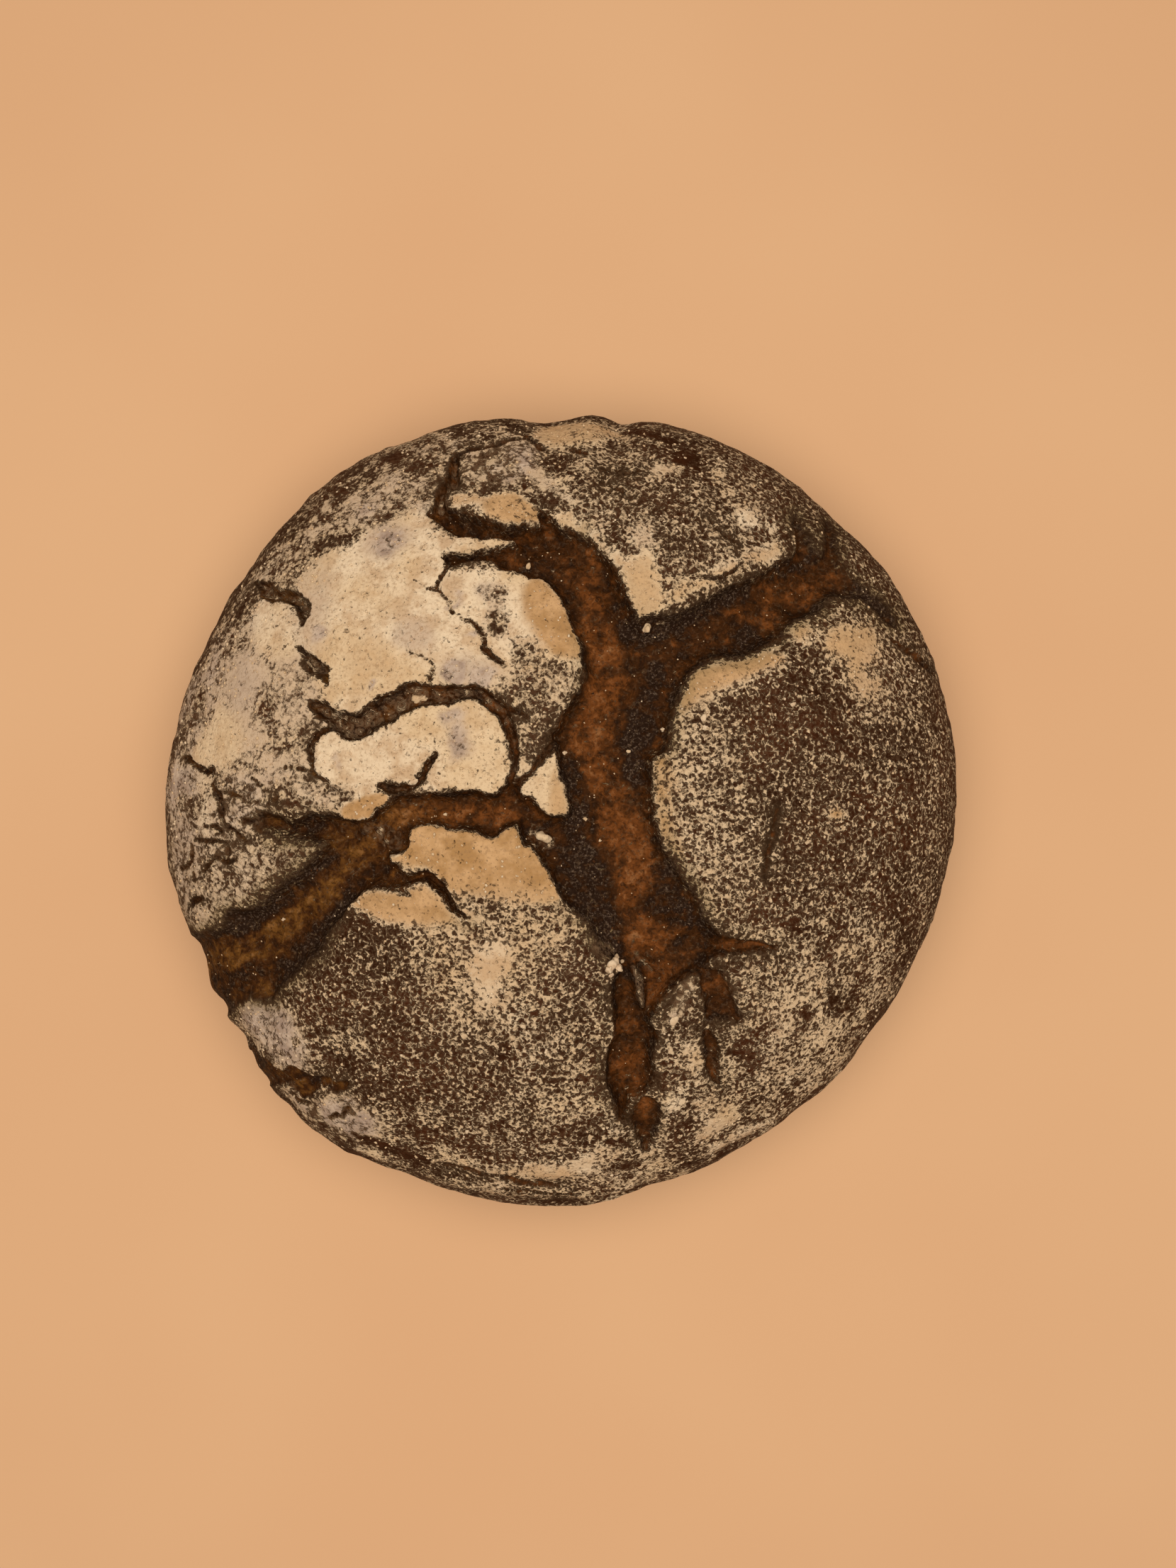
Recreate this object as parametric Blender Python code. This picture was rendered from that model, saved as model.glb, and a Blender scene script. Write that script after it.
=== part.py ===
"""A round rye loaf, baked whole: one solid of bread, about 230 mm across and 74 mm high.

The flat underside lies at z = 0 with the origin at its centre, and +Z is up. The dome's
crust tore open in the oven: a wide forked tear with arms and fingers, and narrower cracks.
Sizes below are in millimetres; the mesh is made in metres.
"""

import math

import bmesh
import bpy
import numpy as np

MM = 0.001

# The loaf's body.
RADIUS = 115.0            # mean radius of the widest line
HEIGHT = 74.0
BELLY_HEIGHT = 27.0       # height of the widest line
FOOT_RADIUS = 99.0        # radius of the flat underside
DOME_ROUND_PLAN = 2.4     # superellipse exponents of the dome's section
DOME_ROUND_RISE = 2.1
FOOT_LATITUDE = 0.55      # share of the lower half, in radians, that curves round to the foot

# The outline isn't a true circle: lobes round it as (count, height, turn in degrees),
# and a swelling low on the left where the crust was pushed out.
LOBES = [(2, 1.25, 97.0), (3, 1.39, 45.0), (6, 0.46, 7.0), (7, 0.44, 151.0)]
SWELLING_ANGLE = 232.0
SWELLING_HEIGHT = 1.6
SWELLING_WIDTH = 9.0      # degrees

# How a tear is cut: walls drop steeply from the crust's edge, and the floor swells up again
# towards the middle, where the crumb pushed through.
TEAR_DEPTH = 7.0
TEAR_WALL = 1.7           # distance over which a wall drops
FLOOR_SWELL = 0.5         # share of the depth that the middle of a wide floor rises
FLOOR_SWELL_REACH = 6.5   # distance from the wall over which it rises
SHOULDER_DROP = 0.9       # the crust's edges sag towards a tear
SHOULDER_REACH = 4.0
TEAR_LOW_END = (9.0, 21.0)  # heights between which a tear on the side dies out
RIM_CALM = 0.55           # share of a tear's depth lost where it runs out over the rim
RIM_CALM_RADII = (86.0, 110.0)

# Each tear as a brush line over the top: x, y, half-width.
TEARS = {
    "trunk": [(12, 52, 9), (15, 44, 9.5), (20, 36, 12), (18.5, 28, 13), (15.5, 20, 14.3),
              (13.5, 12, 12.6), (14, 3, 11), (13.5, -5, 12), (14, -13, 15.5), (17.5, -20, 16),
              (22, -27, 15), (26.5, -34, 13.5), (27.5, -40, 11)],
    "lower_finger": [(23, -45, 8), (21.5, -52, 6.5), (21, -58, 5.5), (20.5, -64, 6.2),
                     (20.2, -70, 6.4), (19.5, -76, 5), (17.8, -83, 1.8)],
    "finger_end": [(25, -80, 2.4), (24.8, -86, 3.4), (25, -95, 1.2)],
    "right_finger": [(36, -36, 6), (41, -36, 4.2), (46, -36.8, 2.4), (59, -37.6, 0.8)],
    "right_pocket": [(40.5, -45, 2.5), (43, -49, 3.5), (45.5, -54, 3.6), (48.5, -57.5, 1.5)],
    "right_slit": [(41, -60, 1.4), (41.8, -65, 1.8), (43.4, -75, 0.8)],
    "upper_right_arm": [(22, 42, 9), (31, 44, 8.2), (40, 47.2, 7.4), (50, 50.6, 9),
                        (59, 55.2, 9.2), (67, 60.3, 8.8), (74, 63.5, 6.2), (81, 61, 3.6),
                        (88, 57, 2), (94.5, 51.5, 0.8)],
    "upper_right_fork": [(67, 66, 3), (68, 72, 2.2), (67, 80, 0.8)],
    "upper_right_tip": [(75.5, 67, 3), (77, 72, 2.1), (76.8, 79, 0.9)],
    "upper_left_arm": [(12, 52, 9), (8, 58.5, 8.8), (3, 65, 8.2), (-4, 69.3, 7.2)],
    "upper_left_crack": [(-7, 72, 4), (-15, 73.7, 2.6), (-22, 74.4, 2.3), (-30.5, 79, 2),
                         (-29, 85, 1.5), (-27, 95, 0.8)],
    "upper_left_slit": [(-7, 66, 4), (-15, 66, 2.6), (-28, 65, 0.8)],
    "left_arm": [(6, -10, 7), (-2, -6.3, 6.4), (-9, -2.6, 5.8), (-17, -1.7, 5.9),
                 (-25, -0.9, 5.2), (-32, -0.7, 4.2), (-38, -2.6, 4.8), (-44, -7.5, 6),
                 (-50, -13.5, 7.4), (-57, -19.8, 7.6), (-64, -26, 8.6), (-71, -31.5, 9.6),
                 (-78, -37, 10.6), (-86, -42, 11.4), (-94, -46, 11), (-104, -50, 11)],
    "left_branch": [(-51, -10, 4), (-57, -7.5, 3.6), (-64, -6.3, 3.4), (-71, -6.4, 2.9),
                    (-78.5, -4.2, 1.4)],
    "under_arm_crack": [(-46, -18.5, 2.2), (-34, -19.2, 1.7), (-27, -24.8, 1.3),
                        (-23.5, -28.3, 0.7)],
    "winding_crack": [(-63, 27, 1.7), (-57, 24, 2.2), (-52, 21, 3), (-45, 24, 3.4),
                      (-38, 29, 3.6), (-30, 29, 2.8), (-20, 29.2, 2.2), (-15, 26.5, 2.2),
                      (-11.5, 21, 1.5), (-10.3, 12, 1.1), (-11.5, 4, 1.8)],
    "upper_left_rim_crack": [(-84, 62, 1.5), (-80, 58.5, 2.4), (-73, 57, 2.4),
                             (-67.5, 55, 1.9), (-67, 49, 0.8)],
    "lower_left_rim_gap": [(-88, -74, 4.5), (-82, -75, 3.8), (-76, -75.7, 2.6),
                           (-69, -76, 2.6), (-57, -76, 1.2)],
}
BRUSH_STEP = 1.0          # spacing of the brush's stops along a tear

# Bumps of crust left standing inside a tear: x, y, radius, height.
ISLANDS = [(22.2, -46, 3.6, 3.0), (23.2, -52, 2.6, 2.5), (-3, -7.8, 2.2, 1.5)]

SPHERE_SUBDIVISIONS = 8
FACES_KEPT = 8200         # triangles left when the fine skin is thinned

CRUST_COLOUR = (0.30, 0.19, 0.10, 1.0)
CRUST_ROUGHNESS = 0.85


def clear_scene():
    for old in list(bpy.data.objects):
        bpy.data.objects.remove(old, do_unlink=True)


def ease(value, low, high):
    """0 below low, 1 above high, and a smooth S between them."""
    t = np.clip((value - low) / (high - low), 0.0, 1.0)
    return t * t * (3.0 - 2.0 * t)


def widest_radius(angle):
    """The outline's radius at an angle in radians, lobes and swelling included."""
    radius = RADIUS
    for count, height, turn in LOBES:
        radius = radius + height * np.cos(count * angle - math.radians(turn))
    off = np.degrees(np.angle(np.exp(1j * (angle - math.radians(SWELLING_ANGLE)))))
    return radius + SWELLING_HEIGHT * np.exp(-(off / SWELLING_WIDTH) ** 2)


def body_point(direction):
    """Where a unit direction lands on the uncracked loaf: dome above the belly, foot below."""
    flat = np.hypot(direction[:, 0], direction[:, 1])
    angle = np.arctan2(direction[:, 1], direction[:, 0])
    up = direction[:, 2]
    outline = widest_radius(angle)
    foot = FOOT_RADIUS * outline / RADIUS

    dome_radius = outline * flat ** (2.0 / DOME_ROUND_PLAN)
    rise = np.maximum(up, 0.0) ** (2.0 / DOME_ROUND_RISE)
    dome_height = BELLY_HEIGHT + (HEIGHT - BELLY_HEIGHT) * rise

    latitude = np.arcsin(np.clip(-up, 0.0, 1.0))
    turn = np.clip(latitude / FOOT_LATITUDE, 0.0, 1.0) * math.pi / 2
    side_radius = foot + (outline - foot) * np.cos(turn)
    side_height = BELLY_HEIGHT * (1.0 - np.sin(turn))
    base_radius = foot * np.cos(latitude) / math.cos(FOOT_LATITUDE)
    under_radius = np.where(latitude < FOOT_LATITUDE, side_radius, base_radius)

    radius = np.where(up >= 0, dome_radius, under_radius)
    height = np.where(up >= 0, dome_height, side_height)
    return np.column_stack([radius * np.cos(angle), radius * np.sin(angle), height])


def brush_stops(line):
    """Evenly spaced stops (x, y, half-width) on a smooth curve through a tear's points."""
    points = np.array(line, float)
    points = np.vstack([2 * points[0] - points[1], points, 2 * points[-1] - points[-2]])
    stops = []
    for a, b, c, d in zip(points, points[1:], points[2:], points[3:]):
        count = max(2, int(np.hypot(*(c - b)[:2]) / BRUSH_STEP))
        for t in np.arange(count) / count:
            curve = (2 * b + (c - a) * t + (2 * a - 5 * b + 4 * c - d) * t * t
                     + (3 * b - a - 3 * c + d) * t ** 3)
            stops.append(0.5 * curve)
    stops.append(points[-2])
    return np.array(stops)


def depth_into_tears(x, y):
    """How far each place lies inside the nearest tear's edge; negative out on the crust."""
    inside = np.full(len(x), -RADIUS)
    for line in TEARS.values():
        for stop_x, stop_y, half_width in brush_stops(line):
            inside = np.maximum(inside, half_width - np.hypot(x - stop_x, y - stop_y))
    return inside


def sink(places):
    """How deep the crust lies below the uncracked form at each place."""
    x, y, z = places.T
    inside = depth_into_tears(x, y)
    within = np.maximum(inside, 0.0)
    wall = 1.0 - np.exp(-within / TEAR_WALL)
    swell = FLOOR_SWELL * (1.0 - np.exp(-(within / FLOOR_SWELL_REACH) ** 2))
    calm = 1.0 - RIM_CALM * ease(np.hypot(x, y), *RIM_CALM_RADII)
    cut = TEAR_DEPTH * wall * (1.0 - swell) * calm
    for island_x, island_y, radius, height in ISLANDS:
        cut = cut - height * np.exp(-((x - island_x) ** 2 + (y - island_y) ** 2) / radius ** 2)
    shoulder = SHOULDER_DROP * np.exp(np.minimum(inside, 0.0) / SHOULDER_REACH)
    return (cut + shoulder) * ease(z, *TEAR_LOW_END)


def fine_skin():
    """The whole torn form as a fine closed skin."""
    skin = bmesh.new()
    bmesh.ops.create_icosphere(skin, subdivisions=SPHERE_SUBDIVISIONS, radius=1.0)
    directions = np.array([vert.co for vert in skin.verts], float)
    directions /= np.linalg.norm(directions, axis=1)[:, None]
    places = body_point(directions)
    for vert, place in zip(skin.verts, places):
        vert.co = place
    skin.normal_update()
    outward = np.array([vert.normal for vert in skin.verts])
    torn = places - outward * sink(places)[:, None]
    for vert, place in zip(skin.verts, torn):
        vert.co = place * MM
    return skin


def thinned(skin):
    """The skin brought down to few triangles, with its underside kept exactly flat."""
    mesh = bpy.data.meshes.new("fine_skin")
    skin.to_mesh(mesh)
    skin.free()
    fine = bpy.data.objects.new("fine_skin", mesh)
    bpy.context.scene.collection.objects.link(fine)
    thin = fine.modifiers.new("thin", "DECIMATE")
    thin.ratio = FACES_KEPT / len(mesh.polygons)
    graph = bpy.context.evaluated_depsgraph_get()
    result = bpy.data.meshes.new_from_object(fine.evaluated_get(graph))
    bpy.data.objects.remove(fine, do_unlink=True)
    for vert in result.vertices:
        if vert.co.z < 0.05 * MM:
            vert.co.z = 0.0
    return result


def crust_material():
    crust = bpy.data.materials.new("floured_crust")
    crust.use_nodes = True
    surface = crust.node_tree.nodes["Principled BSDF"]
    surface.inputs["Base Color"].default_value = CRUST_COLOUR
    surface.inputs["Roughness"].default_value = CRUST_ROUGHNESS
    surface.inputs["Metallic"].default_value = 0.0
    crust.diffuse_color = CRUST_COLOUR
    return crust


clear_scene()
loaf_mesh = thinned(fine_skin())
loaf_mesh.name = "loaf"
loaf_mesh.materials.append(crust_material())
loaf_mesh.shade_smooth()
loaf = bpy.data.objects.new("loaf", loaf_mesh)
bpy.context.scene.collection.objects.link(loaf)
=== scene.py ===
"""A round rye loaf, baked whole, its floured crust torn open in the oven.

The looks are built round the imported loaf: the torn loaf itself, its flour and its bake,
lumps and grains of flour, crumbs in the tears, then the table, the light and the camera.
"""
import itertools
import math

import bmesh
import bpy
import numpy as np
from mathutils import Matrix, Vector
from mathutils.bvhtree import BVHTree


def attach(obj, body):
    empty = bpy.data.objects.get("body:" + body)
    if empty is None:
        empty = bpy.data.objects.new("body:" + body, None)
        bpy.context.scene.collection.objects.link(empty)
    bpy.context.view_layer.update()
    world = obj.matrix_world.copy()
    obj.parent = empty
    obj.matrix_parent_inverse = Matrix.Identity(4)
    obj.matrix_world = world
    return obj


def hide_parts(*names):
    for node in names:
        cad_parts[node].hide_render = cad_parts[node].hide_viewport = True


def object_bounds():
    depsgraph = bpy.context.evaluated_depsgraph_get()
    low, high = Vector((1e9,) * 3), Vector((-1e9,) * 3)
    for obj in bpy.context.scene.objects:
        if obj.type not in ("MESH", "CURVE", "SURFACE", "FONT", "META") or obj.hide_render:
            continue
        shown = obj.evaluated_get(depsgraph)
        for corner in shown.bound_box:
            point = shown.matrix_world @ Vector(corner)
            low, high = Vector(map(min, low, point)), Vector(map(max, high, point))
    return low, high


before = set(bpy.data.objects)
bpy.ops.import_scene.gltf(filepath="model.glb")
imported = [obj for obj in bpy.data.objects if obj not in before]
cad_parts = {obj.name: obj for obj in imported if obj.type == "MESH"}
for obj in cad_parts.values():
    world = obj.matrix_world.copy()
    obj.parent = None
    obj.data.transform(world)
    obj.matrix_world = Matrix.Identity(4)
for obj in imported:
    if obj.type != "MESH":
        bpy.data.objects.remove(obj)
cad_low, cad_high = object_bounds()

# --- The loaf -------------------------------------------------------------------------
# Rye dough, proved in a floured basket, turned out and baked whole on a hot stone. It is
# one closed skin: a flat underside, a round dome, and tears whose floors swell up again
# where the crumb pushed through. Sizes are in the loaf's own millimetres.

WIDTH = 230.8
MM = (cad_high.x - cad_low.x) / WIDTH

# The body: mean radius of its widest line, the height of that line, the radius of the flat
# underside, how full the dome is in plan and in section, and the share of the lower half,
# in radians, that curves round to the foot.
RADIUS = 115.0
HEIGHT = cad_high.z / MM + 0.2
BELLY_HEIGHT = 27.0
FOOT_RADIUS = 99.0
DOME_ROUND_PLAN = 2.4
DOME_ROUND_RISE = 2.1
FOOT_LATITUDE = 0.55

# The outline isn't round: lobes as count, height, turn, and swellings and dips as the
# turn where each lies, its height and its half-width in degrees.
LOBES = [(2, 1.25, 97.0), (3, 1.39, 45.0), (6, 0.46, 7.0), (7, 0.44, 151.0)]
SWELLINGS = [
    (13.0, -0.6, 12.0), (36.0, 0.6, 5.0), (80.5, -2.6, 2.6), (85.0, 0.3, 1.8), (91.0, -2.9, 4.0),
    (152.0, -2.0, 34.0), (207.5, 2.2, 3.2), (216.5, -2.3, 3.2), (228.5, -1.3, 2.0),
    (232.0, 1.2, 8.0), (248.0, -2.0, 9.0), (274.5, 0.5, 1.0), (285.0, -1.2, 6.0), (316.0, 1.0, 6.0)]

# The wide tears, each as its torn edge, in order round it.
WIDE_TEARS = {
    "trunk": [
        (3, 52), (5.5, 46.5), (7, 42), (6.8, 38.5), (8.3, 34), (6, 30), (4, 27), (2, 24),
        (0.3, 21.3), (-1, 18.8), (0.2, 15.8), (0.5, 12), (1.5, 8), (2.8, 4.5), (3.8, 1), (3.2, -2),
        (0, -5), (-3, -9), (-4, -13), (-1.5, -17), (0.8, -21), (1.5, -24), (4.5, -26.5), (8, -29.5),
        (10.5, -33), (12.5, -37.5), (15, -40.5), (19, -42), (24, -43), (28, -46), (31, -48),
        (33.5, -46), (36, -44), (38, -44.5), (40, -42), (43, -39.5), (46, -38.3), (43, -34.5),
        (41, -31.5), (39, -28), (37.5, -24), (35, -20.5), (32.5, -17), (30, -13), (28, -10),
        (26.6, -5), (25.8, 0), (25.6, 5), (25.4, 11), (27.5, 13.5), (29.8, 16), (30.2, 20),
        (31, 25), (33, 30), (35, 34), (37, 36.5), (40, 39), (36, 45), (30, 48), (22, 49.5),
        (19, 54), (12, 56)],
    "upper_left_arm": [
        (3, 52), (1.5, 55), (0, 57.7), (-3, 60), (-6.5, 60.8), (-10, 62.3), (-14, 62.8),
        (-16, 64.8), (-20, 65.8), (-24, 64.9), (-28, 64), (-30, 65.8), (-29, 67.4), (-25, 67.4),
        (-20, 68.8), (-15, 69.4), (-10.5, 70.6), (-15, 71.7), (-20, 71.6), (-25, 72.2), (-29, 74),
        (-31.5, 76.5), (-34, 79.3), (-31, 81.5), (-28.5, 81), (-25.5, 79.4), (-20, 77.8), (-16, 76),
        (-12, 75.7), (-9, 75.8), (-6, 74.2), (-4.2, 74.6), (-4.5, 78), (-3.5, 80), (-1, 78),
        (1, 75.5), (5, 73.6), (8.5, 72.6), (11, 69.3), (15, 64), (17.5, 59.5), (19.5, 54.5),
        (22, 49.5), (15, 44), (7, 44)],
    "upper_right_arm": [
        (20, 40), (22, 49.5), (27, 50.5), (33, 51), (37, 53), (41.5, 56), (46, 58.5), (50, 60.3),
        (55, 62), (58.5, 64.5), (62, 67), (65.5, 69), (66.5, 73), (66, 78), (67, 81), (69, 77),
        (70.5, 73), (73, 70), (75, 71), (75.5, 76), (76.5, 80), (78.5, 77), (78.5, 71), (79, 67),
        (82, 63.5), (86, 60.5), (90, 58), (94, 53.5), (95, 50.5), (92.5, 51), (88.5, 55),
        (84, 57.5), (80, 57.5), (76, 58), (73.5, 56), (72, 53.5), (68, 51.5), (65, 50.5), (62, 48),
        (60, 45.5), (56, 43.5), (52, 41), (47, 40), (41, 39.5), (36, 36), (28, 36)],
    "left_arm": [
        (3.2, -2), (0, -2.6), (-3.3, 0), (-6, 2.3), (-8.6, 2.8), (-9.4, 5.5), (-11.6, 6.8),
        (-13.3, 4.9), (-15.6, 3.6), (-19, 4), (-23, 4.6), (-27, 3.8), (-30, 3.4), (-33, 4.2),
        (-37, 2.7), (-40.5, 2.6), (-44, 1), (-47.5, -1), (-50, -3.6), (-55, -3.2), (-60, -2.5),
        (-65, -2.2), (-69, -3.2), (-72, -4), (-74.5, -2.4), (-78.5, -2.4), (-79.8, -4.6),
        (-76, -7.4), (-71, -9), (-66, -9.6), (-61.5, -10.3), (-64, -13.5), (-69, -18),
        (-74.5, -21.8), (-80, -26.3), (-84.5, -28.8), (-89, -28.6), (-91.3, -30.6), (-91.3, -34),
        (-96, -35.3), (-101, -36.7), (-108, -38.5), (-116, -44), (-112, -54), (-101, -64),
        (-91.5, -57.5), (-87, -54.3), (-83, -53.3), (-79, -54), (-76, -50.5), (-71.5, -46),
        (-67, -42), (-63.3, -39), (-61.5, -35), (-58.5, -31), (-56, -28), (-53, -25), (-50, -22.3),
        (-46.5, -21.2), (-42, -21.6), (-39, -21.3), (-35.5, -20.2), (-33, -20.8), (-30.5, -23),
        (-28, -26), (-25.5, -28.3), (-23, -28.8), (-24.8, -26.6), (-27.2, -23), (-29, -20.3),
        (-32, -17.6), (-36, -17), (-39.3, -17.6), (-41.8, -15.5), (-43.6, -13.4), (-40.2, -12.2),
        (-38, -10.5), (-38.3, -6.8), (-35, -5.4), (-31, -5.1), (-27, -6.2), (-21, -7), (-18, -8),
        (-14.5, -8), (-12.5, -6.2), (-10.5, -5.2), (-9.3, -7), (-7.8, -10.4), (-6, -10),
        (-5, -11.3), (-4, -13.4), (-1, -17), (4, -10)],
    "lower_finger": [
        (14, -39), (16.8, -42.5), (15.2, -46), (15, -51), (15.8, -56), (15.8, -60), (14.3, -65),
        (13.5, -69), (14, -73), (15.2, -77.5), (16, -80), (17.2, -84), (19, -85.5), (19.3, -82),
        (20.5, -79), (23, -78), (25.5, -76), (26.3, -71), (26, -66), (27.5, -61.5), (26, -57.5),
        (27, -53), (29.5, -49.5), (31, -47), (28, -42), (22, -40)],
    "finger_end": [
        (22.5, -80), (24.5, -78.5), (27.5, -80), (28.5, -84), (28.5, -88), (27, -92), (25.5, -95.5),
        (23.8, -93.5), (22, -90), (21.3, -86), (21.5, -82.5)],
    "right_finger": [
        (40, -31), (44.5, -34), (50, -35.3), (55, -36.3), (60, -37.6), (55, -38.6), (50, -38.8),
        (46, -39), (42.5, -40), (38, -42)],
    "right_pocket": [
        (38, -43.5), (41, -43), (44, -44.5), (46, -48), (48.5, -52.5), (50, -58), (46.5, -56.8),
        (43, -56.3), (40.5, -57), (40, -52.5), (39, -48.5)],
    "right_slit": [
        (39.7, -60), (42.3, -61), (43.5, -65), (44.3, -69), (44, -72.5), (44.3, -75.5), (42.4, -74),
        (41, -70), (39.9, -66)],
    "lower_left_rim_gap": [
        (-86, -68), (-83, -70.5), (-79.5, -72), (-76, -73.6), (-73, -71.6), (-70, -72.2),
        (-67, -74.2), (-63, -73.8), (-60, -75.2), (-56.5, -74.5), (-57, -76.8), (-60, -78.6),
        (-64, -77.2), (-66.6, -78.6), (-68, -80.8), (-70.4, -82.6), (-72.2, -80.4), (-75, -77.8),
        (-80, -79.3), (-86, -82), (-92, -76)],
}

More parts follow.
